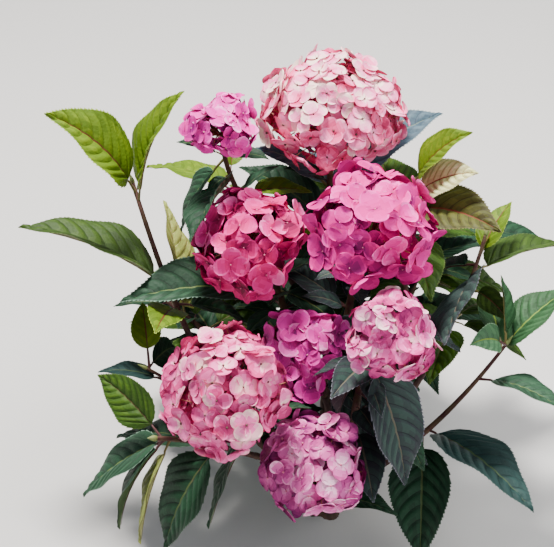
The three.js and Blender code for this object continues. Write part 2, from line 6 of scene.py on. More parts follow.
import bpy
import numpy as np
from bpy.props import FloatProperty, FloatVectorProperty, IntProperty, PointerProperty
from bpy.types import Operator, Panel, PropertyGroup
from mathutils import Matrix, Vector

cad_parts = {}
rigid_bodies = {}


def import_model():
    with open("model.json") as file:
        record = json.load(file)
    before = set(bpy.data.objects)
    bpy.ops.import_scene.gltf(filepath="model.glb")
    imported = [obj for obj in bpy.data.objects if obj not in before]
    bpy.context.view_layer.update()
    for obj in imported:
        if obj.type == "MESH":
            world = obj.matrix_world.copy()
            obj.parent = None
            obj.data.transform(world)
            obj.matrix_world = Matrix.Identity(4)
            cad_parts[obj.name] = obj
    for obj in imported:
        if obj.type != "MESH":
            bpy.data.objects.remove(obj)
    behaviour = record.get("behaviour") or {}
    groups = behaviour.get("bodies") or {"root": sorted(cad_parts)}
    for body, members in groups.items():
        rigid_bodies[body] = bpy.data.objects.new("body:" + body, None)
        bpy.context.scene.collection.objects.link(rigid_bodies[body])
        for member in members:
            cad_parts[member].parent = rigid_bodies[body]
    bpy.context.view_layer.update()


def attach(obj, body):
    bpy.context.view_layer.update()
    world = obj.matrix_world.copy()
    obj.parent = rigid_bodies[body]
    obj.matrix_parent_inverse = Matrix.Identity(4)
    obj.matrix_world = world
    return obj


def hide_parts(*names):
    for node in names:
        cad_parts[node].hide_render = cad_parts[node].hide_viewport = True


bl_info = {
    "name": "Hydrangea Shrub",
    "version": (1, 0, 0),
    "blender": (4, 5, 0),
    "location": "View3D > Sidebar > Hydrangea",
    "description": "Grows the bark, leaves and flower heads of a hydrangea shrub round its solids",
    "category": "Add Mesh",
}

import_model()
BODY = "root"

# The plant grows in millimetres, as its solids do, and MM turns them into metres
MM = 0.001
UP = np.array([0.0, 0.0, 1.0])

# Crown and canes
HEART = np.array([0.0, 0.0, 10.0])  # the point that the canes spread from
CANE_ROOT = 10.0  # where a cane's own axis starts, from the heart
STUB = 34.0  # length of each cane that is one piece with the crown
STUB_SHORT = 0.2
CANE_OVERLAP = 1.5  # how far the bark of a cane reaches back over its stub
CROWN_OUTLINE = ((0, 0), (19, 0), (15.5, 3), (12.6, 8), (11.2, 14), (9, 20), (5, 24), (0, 25))
CROWN_RINGS = 29
CROWN_SIDES = 40
CROWN_GRAIN = 0.0008  # size of the grid that fuses the crown, in metres
FLARE_LOBES = 5
FLARE_DEPTH = 0.13  # how far the root flare swells between its lobes, by radius
HOLD_OUT, HOLD_IN = 0.36, 0.32  # how long a limb holds its first and last heading, by its reach
LIMB_SEED, LEAF_SEED, BLOOM_SEED = 11, 100, 500
CHORDS = 40  # straight lines that a limb's length is measured over
HALVINGS = 30
LEAST_AREA = 1e-4  # a face with less, in square millimetres, is left out
LIMB_STEPS = 24  # short straight limbs that leaves are kept clear of, for each cane

# Relief of the wood. A furrow of the crown has how many stand round it, their turn with its height,
# their shift and their depth. A limb's ridges have the same with its length, and heights by its radius.
FURROWS = ((11, 0.25, 0.0, 0.28), (23, -0.4, 1.7, 0.18))
KNOT_DEPTH = 0.2
LEAST_FURROW = 0.35
RIDGES = ((5, 0.03, 1, 0.030), (9, -0.05, 0, 0.022))
KNOB_HEIGHT = 0.018
JOINT_STEP = 27.0  # length of limb from one leaf joint to the next
JOINT_SHIFT = 9
JOINT_SPREAD = 1.7
JOINT_SWELL = 0.16
JOINT_EVEN, JOINT_SIDED = 0.7, 0.3
BARK_SIDES, SHOOT_SIDES = 18, 14
STUB_SPACING, CANE_SPACING, SHOOT_SPACING = 1.4, 1.6, 2.0
STALK_SIDES, NECK_SIDES, PEDICEL_SIDES, BUD_SIDES = 6, 12, 5, 8
STALK_POINTS, PEDICEL_POINTS, BUD_POINTS = 7, 6, 8
SMALL_RIB_POINTS, RIB_POINTS = 4, 8
LEAST_RINGS = 4
SHOOT_ROUGHNESS = 0.7
SHOOT_OVERLAP = 0.004

# Leaves. Of two numbers for one measure, the second is how much chance may add to the first.
PETIOLE = 13.0  # length of a leaf's stalk
PETIOLE_SHARE = (0.8, 0.5)
SMALL_PETIOLE = 0.6
BEND = (26, 16)
TWIST = 36
FOLD = (8, 14)
BLADE_BASE = 0.62  # how roundly the blade widens from its stalk: less is rounder
BLADE_TIP = 1.2  # how it narrows to its tip: more is slimmer
BROADEST = BLADE_BASE / (BLADE_BASE + BLADE_TIP)
BREADTH = {"first": 0.255, "second": 0.235, "small": 0.225}
BREADTH_MORE = 0.035
SECOND_TURN, SECOND_DROP = 30, 8
SMALL_TURN, SMALL_RISE, SMALL_LENGTH = 50, (10, -40), (42, 26)
YOUNG_TURN, YOUNG_RISE, YOUNG_LENGTH = 40, (30, -50), (26, 24)
YOUNG_STEP = 21.0  # length of shoot from one pair of young leaves to the next
YOUNG_START = 0.6
YOUNG_SEED = 40
BARE_SHOOTS = ("far_left", "far_right", "right", "low_left", "mid_left")

# Clearances that a leaf keeps, and the points and facets that they are measured by
GAP_LEAF = 2.6
GAP_LIMB = 1.6
GAP_BLOOM = 1.2
GAP_CORE = 0.03
GAP_GROUND = 3.0
OWN_CLEAR = 0.22  # share of the blade that may lie close to its own shoot
REACH_SHARE = 0.58  # two leaves further apart than these shares of their lengths never meet
TEST_ROWS = (0.0, 0.34, 0.72, 1.0)
OWN_FACETS = 2
SAMPLE_ROWS = 15
SAMPLE_SIDES = 3
LEAST_CROSS = 2e-6
# Turn of the bearing, change of the rise, and share of the length, in the order they are tried
TRIES = (
    (0, 0, 1), (22, -8, 0.9), (-22, -8, 0.9), (0, -26, 0.78), (0, 24, 0.78),
    (40, 6, 0.7), (-40, 6, 0.7), (62, -12, 0.66), (-62, -12, 0.66), (30, -40, 0.6),
)
SMALL_TRIES = 5

# Blades. Shares run from 0 at the stalk or the midrib to 1 at the tip or the edge.
SMALL_BLADE = 62.0  # a shorter leaf has fewer veins
LEAST_VEINS, FEWER_VEINS = 4, 3
VEIN_SHARE = 0.06  # breadth of a side vein over the space to the next
VEIN_END = 0.9
LEAN, LEAN_CURVE, LEAN_FADE = 0.34, 1.35, 0.8  # how the side veins run forward to the edge
FULL_COLUMNS = (0.0, 0.034, 0.2, 0.42, 0.64, 0.84, 1.0)
SMALL_COLUMNS = (0.0, 0.05, 0.36, 0.7, 1.0)
# Kind, place between two veins and swell of each row of faces
FULL_SWELLS = (("vein", 0.0, 0.0), ("flank", VEIN_SHARE, 0.0), ("crest", 0.3, 0.8), ("blade", 0.68, 1.0))
SMALL_SWELLS = (("vein", 0.0, 0.0), ("flank", VEIN_SHARE, 0.0), ("crest", 0.55, 0.9))
BASE_ROWS = (0.0, 0.1, 0.22, 0.38, 0.58, 0.8)
BASE_SWELL = 0.8
SIZE_UNIT = 100.0  # length of the leaf that the sizes of its relief are given for
QUILT_FALL = 0.7
RIB_DEPTH, RIB_BREADTH = 0.5, 0.05
WAVES, WAVE_LAG, WAVE_EDGE = 2.2, 0.9, 2.2
TOOTH_SPAN, TOOTH_LEAN = 2.5, 0.95
PHASE_SPAN = 6.3
TINT_DRIFT, TINT_GRAIN, TINT_STEP = 0.3, 0.12, 0.35
# Leaf tints: flank faces beside each vein are darker as painted shade in the creases, crest faces between
# veins paler as a painted highlight on the swells, and a band along the margin is darker
PAINTED_FLANK_SHADE, PAINTED_CREST_LIGHT, EDGE_SHADE, EDGE_BAND = -0.45, 0.35, 0.4, 0.8
STALK_RADIUS, STALK_TAPER = 1.25, 0.35
RIB_RADIUS, RIB_TAPER, RIB_END, RIB_SUNK = 0.85, 0.85, 0.94, 0.75
SMALL_STALK = 0.62
BUD_LENGTH, BUD_OVERLAP = 9.0, 1.0
BUD_FOOT, BUD_BELLY, BUD_FALL, BUD_TAPER = 0.75, 1.1, 0.8, 0.75

# Flower heads, by their radius
BLOOM_DEPTH = 0.8  # height of the dome
CORE = 0.74  # radius of the hidden middle
SKIRT = -0.36  # height of the lowest florets, from the dome's middle
SKIRT_DROP = 0.04
NECK = 0.95  # depth of the shoot's tip below the dome's middle
NECK_GAP = 0.3
FORK = 0.45  # depth of the place where the stalk branches
FORK_SWELL = 1.15
INNER_LEVEL, INNER_SIZE, INNER_TURN = 0.8, 0.85, 2.0
LEAST_CLUSTERS = 4
REACH = (0.9, 0.99)
SCATTER = 0.05
LEAN_ASIDE = 1.1  # how far the florets of a cluster lean away from its middle
GOLDEN_ANGLE = math.pi * (3 - math.sqrt(5))

# Florets and sepals. Shares of a sepal are by its length, and shades are steps of colour.
SEPALS = 4
SEPAL_ROWS = np.array([0.0, 0.14, 0.34, 0.56, 0.76, 0.9, 0.975, 1.0])
SEPAL_COLUMNS = np.array([-1.0, -0.8, -0.32, 0.32, 0.8, 1.0])
SEPAL_BREADTH = (0.52, 0.62)
SEPAL_LENGTH = (0.9, 1.06)
SEPAL_TURN = 0.09
SEPAL_TAPER = (0.82, 0.3)
SEPAL_NOTCH = 0.05
RIPPLE, RIPPLE_TURN = 0.055, 4.2
OVERLAP = 0.6  # how far two of the sepals lie over the other two, in millimetres
CUPPED, BENT_BACK, BOWL_SPREAD, CUPPED_SHARE = 0.20, -0.14, 0.08, 0.55
CREASE = (0.07, 0.09)
FLORET_SIZE = (0.88, 1.1)
HEART_REACH, RIM_START, RIM_BREADTH = 0.5, 0.62, 0.28
PALE_HEART, PALE_HEART_SHARE, DARK_RIM = 2.6, 0.6, 1.7
# On the other florets the darker heart and paler rim are partly the sepals' own colouring and partly painted
# shade at the floret's middle and a painted highlight along the sepals' edges
DARK_HEART_AND_SHADE, PALE_RIM_AND_HIGHLIGHT = 2.8, 1.8
# Painted light from above: the higher a floret sits on its head, the paler its step of colour, and the lower,
# the deeper
PAINTED_TOP_LIGHT, TOP_MIDDLE = 1.5, 0.5
# Painted shade: the inner layer of florets is this many steps of colour deeper, as if in the shadow of the
# outer layer
PAINTED_INNER_SHADE = 2.4
FLORET_SPREAD, SEPAL_SPREAD, FACE_SPREAD = 1.15, 0.8, 0.35
BEAD_SIZE = (0.8, 1.2)
CLOSED_BEAD = 0.75
BEAD_LIFT = 0.4
BEAD_PROFILE = ((-0.6, 0.6), (0.1, 1.0), (0.8, 0.8), (1.2, 0.3))
PEDICEL_RADIUS, PEDICEL_TAPER = 0.75, 0.3
PEDICEL_GAP = 0.3
PEDICEL_BEND = 0.38
FORK_SPREAD = 0.12

# Every shoot, as the solids have it: the bearing and rise it leaves at, the middle of its flower head
# or its tip, the bearing and rise it arrives at, the radii at its foot and tip, the share where its
# leaves begin, the radius of its flower head, its leaf pairs and the tone of each. A pair is the share
# along the shoot, the bearing, rise and length of its first leaf, the second leaf's length over the
# first's and, where the photograph shows it, the first leaf's twist. A flower head has a set of petal
# colours and the length of its sepals. A side shoot names the shoot it leaves and the share along it.
SHOOTS = {
    "front_left": {
        "out": (226, 50), "tip": (-79, -108, 201), "arrive": (232, 50), "radii": (4.6, 2.4),
        "foliage": 0.5, "bloom": 50,
        "pairs": ((0.86, 150, -5, 84, 1), (0.74, 320, 0, 64, 0), (0.931, 241, -39, 85, 1, 56)),
        "tones": ("deep", "purple", "deep"), "petals": "shell", "floret": 12.0,
    },
    "front": {
        "out": (266, 46), "tip": (-12, -112, 134), "arrive": (268, 62), "radii": (4.2, 2.2),
        "foliage": 0.5, "bloom": 42,
        "pairs": ((0.62, 330, 5, 62, 0), (0.78, 100, -20, 54, 0)),
        "tones": ("deep", "deep"), "petals": "mauve", "floret": 12.0,
    },
    "front_right": {
        "out": (305, 56), "tip": (42, -101, 245), "arrive": (300, 55), "radii": (4.4, 2.3),
        "foliage": 0.45, "bloom": 36,
        "pairs": ((0.943, 317, -70, 96, 0.8, 4), (0.72, 330, -20, 88, 1), (0.54, 220, -18, 88, 1)),
        "tones": ("purple", "deep", "purple"), "petals": "blush", "floret": 11.6,
    },
    "centre": {
        "out": (290, 80), "tip": (30, -28, 294), "arrive": (290, 65), "radii": (4.8, 2.6),
        "foliage": 0.5, "bloom": 51,
        "pairs": ((0.76, 330, -6, 90, 0.9), (0.62, 250, 0, 90, 1)),
        "tones": ("purple", "deep"), "petals": "pink", "floret": 15.0,
    },
    "upright": {
        "out": (75, 76), "tip": (2, 78, 333), "arrive": (270, 84), "radii": (5, 2.6),
        "foliage": 0.55, "bloom": 59,
        "pairs": (
            (0.8, 165, 28, 78, 1), (0.944, 16, 28, 99, 0.8, 14), (0.68, 80, 5, 90, 1),
            (0.6, 250, -10, 84, 1),
        ),
        "tones": ("deep", "grey", "green", "deep"), "petals": "salmon", "floret": 11.4,
    },
    "left": {
        "out": (195, 66), "tip": (-62, -2, 264), "arrive": (225, 60), "radii": (4.6, 2.5),
        "foliage": 0.48, "bloom": 47,
        "pairs": ((0.901, 193, 2, 116, 1, -4), (0.8, 135, 5, 80, 0.9), (0.6, 250, -15, 86, 1)),
        "tones": ("blue", "deep", "deep"), "petals": "rose", "floret": 13.6,
    },
    "far_left": {
        "out": (174, 38), "tip": (-155, 56, 284), "arrive": (118, 50), "radii": (3.8, 1.6),
        "foliage": 0.6, "bloom": 0,
        "pairs": (
            (0.971, 207, 49, 100, 0, -39), (0.948, 3, 66, 93, 0, 8), (0.711, 174, 20, 116, 0, 12),
            (0.645, 259, 15, 59, 0, -12), (0.66, 20, -35, 62, 0),
        ),
        "tones": ("bright", "bright", "moss", "bright", "deep"),
    },
    "far_right": {
        "out": (338, 42), "tip": (138, -31, 190), "arrive": (15, 56), "radii": (3.4, 1.3),
        "foliage": 0.46, "bloom": 0,
        "pairs": (
            (0.926, 31, 27, 72, 0, -6), (0.994, 229, 24, 45, 0, -54), (0.97, 95, 28, 66, 0),
            (0.82, 323, -2, 66, 0, -15), (0.516, 311, -8, 108, 0, -17), (0.485, 267, -46, 91, 0, 18),
            (0.994, 99, 57, 45, 0, 56),
        ),
        "tones": ("jade", "mint", "jade", "blue", "slate", "deep", "jade"),
    },
    "right": {
        "out": (10, 52), "tip": (124, 33, 250), "arrive": (60, 60), "radii": (3.6, 1.4),
        "foliage": 0.62, "bloom": 0,
        "pairs": (
            (0.897, 53, 30, 48, 0, -17), (0.876, 28, -4, 85, 0, -16), (0.9, 135, -42, 61, 0, 2),
            (0.865, 254, 3, 103, 0, 51), (0.7, 60, -2, 92, 0.7), (0.824, 308, -15, 38, 0, 49),
        ),
        "tones": ("bright", "moss", "deep", "purple", "green", "moss"),
    },
    "back_right": {
        "out": (45, 50), "tip": (95, 118, 205), "arrive": (50, 50), "radii": (4.4, 2),
        "foliage": 0.55, "bloom": 0,
        "pairs": (
            (0.99, 60, -15, 74, 0.9), (0.93, 15, -12, 96, 0.9), (0.8, 50, -20, 104, 0.9),
            (0.66, 20, -20, 84, 1), (0.6, 100, -20, 90, 0), (0.6, 50, -40, 92, 1),
        ),
        "tones": ("deep", "deep", "green", "deep", "green", "deep"),
    },
    "back": {
        "out": (95, 50), "tip": (17, 178, 262), "arrive": (92, 60), "radii": (4.6, 2.4),
        "foliage": 0.5, "bloom": 42,
        "pairs": (
            (0.82, 175, -5, 96, 1), (0.7, 85, -12, 104, 1), (0.58, 10, -14, 96, 1),
            (0.92, 130, 5, 84, 0.9), (0.56, 290, -20, 90, 0.9), (0.53, 120, -42, 92, 1),
        ),
        "tones": ("green", "green", "deep", "green", "deep", "blue"), "petals": "pink", "floret": 11.6,
    },
    "back_left": {
        "out": (138, 52), "tip": (-64, 132, 186), "arrive": (120, 50), "radii": (4.4, 2.3),
        "foliage": 0.5, "bloom": 40,
        "pairs": (
            (0.82, 60, -5, 96, 1), (0.68, 150, -12, 104, 1), (0.56, 240, -14, 90, 1),
            (0.93, 100, 8, 78, 0), (0.75, 330, 5, 80, 0), (0.62, 100, -25, 90, 0.9),
            (0.53, 130, -45, 90, 1),
        ),
        "tones": ("green", "blue", "deep", "green", "deep", "green", "blue"),
        "petals": "salmon", "floret": 11.4,
    },
    "centre_low": {
        "parent": "centre", "share": 0.3,
        "out": (250, 50), "tip": (-20, -43, 188), "arrive": (255, 40), "radii": (2.8, 2),
        "foliage": 0.4, "bloom": 36,
        "pairs": ((0.571, 343, -52, 69, 0.9, 57), (0.85, 300, -5, 70, 1)),
        "tones": ("purple", "purple"), "petals": "magenta", "floret": 13.6,
    },
    "upper_left": {
        "parent": "upright", "share": 0.42,
        "out": (138, 52), "tip": (-84, 29, 349), "arrive": (262, 66), "radii": (2.8, 1.9),
        "foliage": 0.45, "bloom": 29,
        "pairs": (
            (0.734, 142, -9, 85, 0.8, 14), (0.821, 252, -4, 85, 0, 41), (0.943, 179, -65, 63, 0, -7),
        ),
        "tones": ("bright", "deep", "blue"), "petals": "magenta", "floret": 11.2,
    },
    "low_left": {
        "parent": "front_left", "share": 0.36,
        "out": (205, 30), "tip": (-132, -109, 158), "arrive": (215, 25), "radii": (2.8, 1.8),
        "foliage": 0.42, "bloom": 0,
        "pairs": (
            (0.96, 136, 15, 63, 0, -57), (0.921, 172, -45, 86, 0, -3), (0.903, 232, -66, 77, 0, 49),
            (0.515, 172, -11, 103, 0, 5), (0.939, 199, -66, 79, 0, 24), (0.55, 199, -66, 94, 0, -12),
        ),
        "tones": ("green", "blue", "sage", "deep", "deep", "deep"),
    },
    "behind_right": {
        "parent": "right", "share": 0.4,
        "out": (75, 70), "tip": (66, 54, 282), "arrive": (50, 65), "radii": (2.6, 1.6),
        "foliage": 0.45, "bloom": 0,
        "pairs": (
            (0.991, 333, 49, 66, 0, 28), (0.934, 324, 33, 62, 0, 42), (0.885, 318, 8, 83, 0.8, 25),
            (0.78, 100, 5, 84, 1), (0.6, 20, 0, 76, 1),
        ),
        "tones": ("bright", "pale", "olive", "green", "deep"),
    },
    "back_low": {
        "parent": "back", "share": 0.36,
        "out": (75, 35), "tip": (66, 150, 150), "arrive": (65, 45), "radii": (2.8, 2),
        "foliage": 0.4, "bloom": 36,
        "pairs": (
            (0.8, 350, -8, 92, 1), (0.6, 70, -20, 100, 1), (0.45, 160, -10, 86, 1),
            (0.92, 30, 5, 84, 0.9), (0.7, 120, 0, 84, 1), (0.5, 40, -45, 84, 1),
        ),
        "tones": ("green", "blue", "deep", "green", "deep", "green"), "petals": "mauve", "floret": 11.0,
    },
    "far_back_left": {
        "parent": "back_left", "share": 0.38,
        "out": (170, 45), "tip": (-140, 95, 150), "arrive": (165, 35), "radii": (2.6, 1.6),
        "foliage": 0.45, "bloom": 0,
        "pairs": (
            (0.99, 75, -20, 76, 0), (0.816, 106, 45, 89, 0, 53), (0.75, 120, -20, 88, 0),
            (0.58, 110, -20, 90, 1), (0.66, 60, 0, 76, 0.9),
        ),
        "tones": ("green", "sage", "deep", "deep", "green"),
    },
    "mid_left": {
        "parent": "far_left", "share": 0.34,
        "out": (205, 12), "tip": (-144, -24, 161), "arrive": (180, 30), "radii": (2.2, 1.2),
        "foliage": 0.6, "bloom": 0,
        "pairs": (
            (0.728, 182, 7, 46, 0, 7), (0.971, 99, 30, 42, 0, 0), (0.987, 70, -18, 47, 0, 60),
        ),
        "tones": ("slate", "bright", "deep"),
    },
}

# Colours, from 0 to 255. Each leaf tone runs: three tints of the blade, its side veins, its midrib, the
# underside, the underside's veins and the teeth.
# In most tones the side veins are darker than the blade: partly their own colour and partly painted shade in
# their sunk grooves
LEAF_PARTS = ("light", "middle", "dark", "vein", "midrib", "under", "under_vein", "edge")
LIGHT, MIDDLE, DARK, VEIN, MIDRIB, UNDER, UNDER_VEIN, TEETH = range(len(LEAF_PARTS))
LEAF_TONES = {
    # Bright: partly the leaves' own yellow-green and partly painted sunlight, for leaves that stand in full
    # light
    "bright": (
        (99, 123, 15), (86, 112, 11), (75, 101, 8), (67, 87, 10), (92, 48, 29),
        (123, 142, 65), (151, 160, 95), (132, 153, 52),
    ),
    "green": (
        (62, 91, 18), (52, 81, 15), (43, 71, 13), (34, 55, 11), (79, 71, 38), (92, 111, 62), (120, 133, 85),
        (82, 104, 43),
    ),
    "blue": (
        (43, 76, 53), (35, 66, 46), (29, 56, 38), (19, 39, 27), (102, 121, 68),
        (104, 125, 101), (136, 151, 124), (100, 128, 110),
    ),
    "slate": (
        (35, 63, 60), (28, 55, 53), (23, 48, 46), (15, 32, 33), (71, 90, 58), (84, 101, 91), (113, 126, 112),
        (64, 85, 80),
    ),
    "mint": (
        (71, 108, 74), (60, 97, 65), (51, 85, 57), (36, 64, 41), (113, 136, 48), (109, 134, 103),
        (134, 153, 124), (118, 146, 115),
    ),
    "jade": (
        (52, 91, 55), (45, 81, 48), (38, 71, 40), (28, 53, 30), (110, 135, 46),
        (89, 116, 81), (120, 141, 107), (83, 114, 81),
    ),
    "moss": (
        (56, 80, 22), (47, 70, 19), (40, 60, 17), (29, 45, 12), (91, 54, 37), (87, 93, 54), (119, 119, 80),
        (78, 95, 46),
    ),
    # Deep: partly the leaves' own dark green and partly painted shade, for leaves inside the plant and low at
    # its front, where shade falls
    "deep": (
        (30, 64, 42), (24, 54, 35), (19, 45, 29), (13, 32, 20), (76, 92, 54), (80, 100, 72), (112, 128, 94),
        (56, 80, 60),
    ),
    "purple": (
        (48, 68, 62), (44, 58, 56), (42, 48, 52), (30, 34, 38), (96, 92, 78), (88, 72, 80), (118, 98, 100),
        (94, 94, 104),
    ),
    "grey": (
        (77, 100, 112), (69, 90, 103), (60, 81, 94), (44, 62, 76), (106, 121, 110), (99, 112, 112),
        (125, 137, 133), (120, 135, 135),
    ),
    "olive": (
        (79, 81, 31), (68, 70, 27), (59, 57, 25), (45, 42, 20), (110, 55, 38), (88, 86, 47), (119, 116, 72),
        (94, 90, 45),
    ),
    "sage": (
        (150, 158, 84), (136, 146, 72), (122, 132, 60), (184, 186, 124), (160, 166, 96), (150, 152, 96),
        (184, 184, 128), (170, 174, 108),
    ),
    "pale": (
        (217, 220, 165), (204, 206, 146), (188, 190, 130), (146, 145, 87), (142, 57, 45), (184, 190, 136),
        (206, 210, 165), (196, 194, 154),
    ),
}
# Each set of petal colours names four of its tints, and the rest are mixed between them
PETAL_PARTS = ("deep", "full", "soft", "pale")
PETAL_STEPS = 9
PETAL_TONES = {
    "salmon": ((184, 44, 92), (234, 84, 138), (252, 144, 194), (255, 222, 212)),
    "rose": ((116, 6, 62), (208, 14, 112), (232, 46, 148), (248, 122, 188)),
    "pink": ((132, 6, 96), (212, 10, 136), (232, 40, 160), (250, 114, 196)),
    "magenta": ((122, 4, 98), (206, 20, 146), (232, 60, 178), (250, 150, 214)),
    "blush": ((140, 22, 92), (208, 58, 136), (240, 120, 188), (255, 214, 218)),
    "shell": ((150, 30, 88), (214, 62, 132), (248, 122, 184), (255, 214, 206)),
    "mauve": ((120, 26, 96), (184, 60, 136), (224, 110, 178), (250, 198, 224)),
}
PETAL_SLOTS = {
    "salmon": "petals_pale", "shell": "petals_pale", "blush": "petals_pale", "mauve": "petals_mauve",
    "rose": "petals_rose", "pink": "petals_rose", "magenta": "petals_magenta",
}
# The step of colour that a head's florets have halfway up it
PETAL_SHADES = {
    "salmon": 4.9, "rose": 3.2, "pink": 3.2, "magenta": 3.8, "blush": 4.2, "shell": 4.0, "mauve": 3.5,
}
PALE_TONES = ("salmon", "blush", "shell", "mauve")
OPEN_BEADS = ("salmon", "blush", "shell")
FLUSHED_TONES = ("purple", "deep", "pale")
FLUSHED_SHARE = 0.7
STALK_SLOT, FLUSHED_SLOT, BUD_SLOT = 1, 2, 3
WOOD_COLOURS = {
    "crown_bark": (104, 80, 64), "crown_crack": (50, 36, 30),
    "cane_bark": (62, 36, 36), "cane_patch": (88, 60, 50),
    "shoot": (86, 66, 44), "shoot_flush": (76, 36, 38), "stalk": (112, 104, 56), "bud": (118, 130, 70),
    "flower_stalk": (168, 104, 84), "open_bead": (84, 52, 44), "closed_bead": (214, 112, 146),
}

# Roughness, gloss, size of the grain and depth of the relief of every finish, the last two in metres
FINISHES = {
    "floor": (0.9, 0.5, 0.004, 0.0001),
    "crown_bark": (0.8, 0.5, 0.0035, 0.0012),
    "cane_bark": (0.8, 0.5, 0.0022, 0.0006),
    "shoot_skin": (0.8, 0.5, 0.0016, 0.0003),
    "leaf_stalk": (0.5, 0.5, 0.0012, 0.0001),
    "bud": (0.5, 0.5, 0.0010, 0.0001),
    "blade": (0.6, 0.22, 0.0021, 0.0004),
    "underside": (0.7, 0.22, 0.0021, 0.0004),
    "flower_stalk": (0.55, 0.5, 0.0010, 0.0001),
    "petal": (0.7, 0.25, 0.0013, 0.0003),
    "bead": (0.5, 0.5, 0.0005, 0.0001),
}
CELLED = ("blade", "underside")
CELL_SMOOTHNESS = 0.6
GRAIN_DETAIL = 3.0
RELIEF_STRENGTH = 0.6
PATCH_SCALE, PATCH_DETAIL, PATCH_STOPS = 0.22, 6.0, (0.40, 0.62)

# The stage, in metres and watts: name, place, size, power and colour of each lamp
LAMPS = (
    ("key", (-0.3, 0.3, 2.0), 0.4, 105.0, (1.0, 0.97, 0.92)),
    ("crown_light", (0.95, 0.1, 1.5), 0.9, 22.0, (1.0, 0.98, 0.95)),
    ("fill", (1.0, -1.5, 1.3), 1.4, 13.0, (0.92, 0.94, 1.0)),
)
LAMP_AIM = (0.0, 0.0, 0.2)
SKY_COLOUR = (0.88, 0.92, 1.0, 1.0)
SKY_STRENGTH = 0.4
FLOOR_REACH = 6.0
FLOOR_COLOUR = (0.62, 0.61, 0.60)

# The photograph's camera
CAMERA_PLACE = (-0.0409, -1.1741, 0.9975)
CAMERA_PITCH = 33.0
CAMERA_CLIP = (0.05, 50.0)
SENSOR_WIDTH = 36.0
FOCAL_PIXELS = 1794.9
PHOTO_WIDTH = 554


def linear(colour):
    """A colour of 0 to 255 as the linear values that a shader takes."""
    shares = [channel / 255 for channel in colour]
    return tuple(c / 12.92 if c <= 0.04045 else ((c + 0.055) / 1.055) ** 2.4 for c in shares)


def palette_group(class_name, title, tints):
    """A PropertyGroup that holds one named colour for each of the tints."""
    notes = {}
    for tint, colour in tints.items():
        words = tint.replace("_", " ")
        notes[tint] = FloatVectorProperty(
            name=words.capitalize(), description=f"{title}: the {words} colour",
            default=linear(colour), size=3, min=0.0, max=1.0, subtype="COLOR")
    return type(class_name, (PropertyGroup,), {"__annotations__": notes})


def tone_groups(kind, parts, tones):
    """A PropertyGroup of colours for each tone of leaves or petals, by the name of its setting."""
    return {
        f"{kind}_{tone}": palette_group(f"HYDRANGEA_PG_{kind}_{tone}", f"{tone.capitalize()} {kind}",
                                        dict(zip(parts, colours)))
        for tone, colours in tones.items()
    }


TONE_GROUPS = {
    **tone_groups("leaf", LEAF_PARTS, LEAF_TONES),
    **tone_groups("petals", PETAL_PARTS, PETAL_TONES),
}
HYDRANGEA_PG_wood = palette_group("HYDRANGEA_PG_wood", "Wood and stalks", WOOD_COLOURS)


class HYDRANGEA_PG_leaf_shape(PropertyGroup):
    """Sizes of a leaf's relief and edge."""

    thickness: FloatProperty(
        name="Thickness", description="Thickness of a blade", default=0.00042, min=0.0001, unit="LENGTH")
    quilt: FloatProperty(
        name="Quilting", description="How far the blade swells between its veins",
        default=0.0024, unit="LENGTH")
    tooth: FloatProperty(
        name="Tooth", description="How far each tooth stands out of the edge", default=0.0016, unit="LENGTH")
    wave: FloatProperty(
        name="Wave", description="How far the edge rises and falls, over the leaf's length", default=0.016)
    veins: IntProperty(
        name="Veins", description="Side veins to each half of a full leaf", default=8, min=3, max=12)
    young_gap: FloatProperty(
        name="Young leaf clearance", description="Space that a young leaf keeps",
        default=0.0012, unit="LENGTH")


class HYDRANGEA_PG_bloom_shape(PropertyGroup):
    """Sizes and counts of the florets of a flower head."""

    cover: FloatProperty(
        name="Cover", description="Florets of a head, over the square of its radius in florets", default=3.7)
    cluster: FloatProperty(
        name="Cluster", description="Florets that grow together on one branch of a head",
        default=6.0, min=1.0)
    lump: FloatProperty(
        name="Lump", description="How far a cluster stands out of the head, over its radius", default=0.5)
    inner: FloatProperty(
        name="Inner florets", description="Florets of the inner layer over those of the outer one",
        default=0.6)
    tilt: FloatProperty(
        name="Tilt", description="How far a floret may lean away from the dome's own slope",
        default=math.radians(26), subtype="ANGLE")
    bead: FloatProperty(
        name="Bead", description="Radius of the bud in the middle of a floret", default=0.0010, unit="LENGTH")


class HYDRANGEA_PG_shrub(PropertyGroup):
    """All that can be changed on the shrub."""

    leaf_shape: PointerProperty(type=HYDRANGEA_PG_leaf_shape)
    bloom_shape: PointerProperty(type=HYDRANGEA_PG_bloom_shape)
    wood: PointerProperty(type=HYDRANGEA_PG_wood)


for setting, tone_group in TONE_GROUPS.items():
    HYDRANGEA_PG_shrub.__annotations__[setting] = PointerProperty(type=tone_group)


# How the shrub grows


def chance(a, b, c=0):
    """A repeatable number from 0 to 1 for three whole numbers."""
    wave = math.sin(a * 127.1 + b * 311.7 + c * 74.7) * 43758.5453
    return wave - math.floor(wave)


def vary(span, number):
    """The first of two numbers with a share of the second added."""
    return span[0] + span[1] * number


def heading(bearing, rise):
    """The unit direction of a bearing and a rise, in degrees."""
    b, r = math.radians(bearing), math.radians(rise)
    return np.array([math.cos(b) * math.cos(r), math.sin(b) * math.cos(r), math.sin(r)])


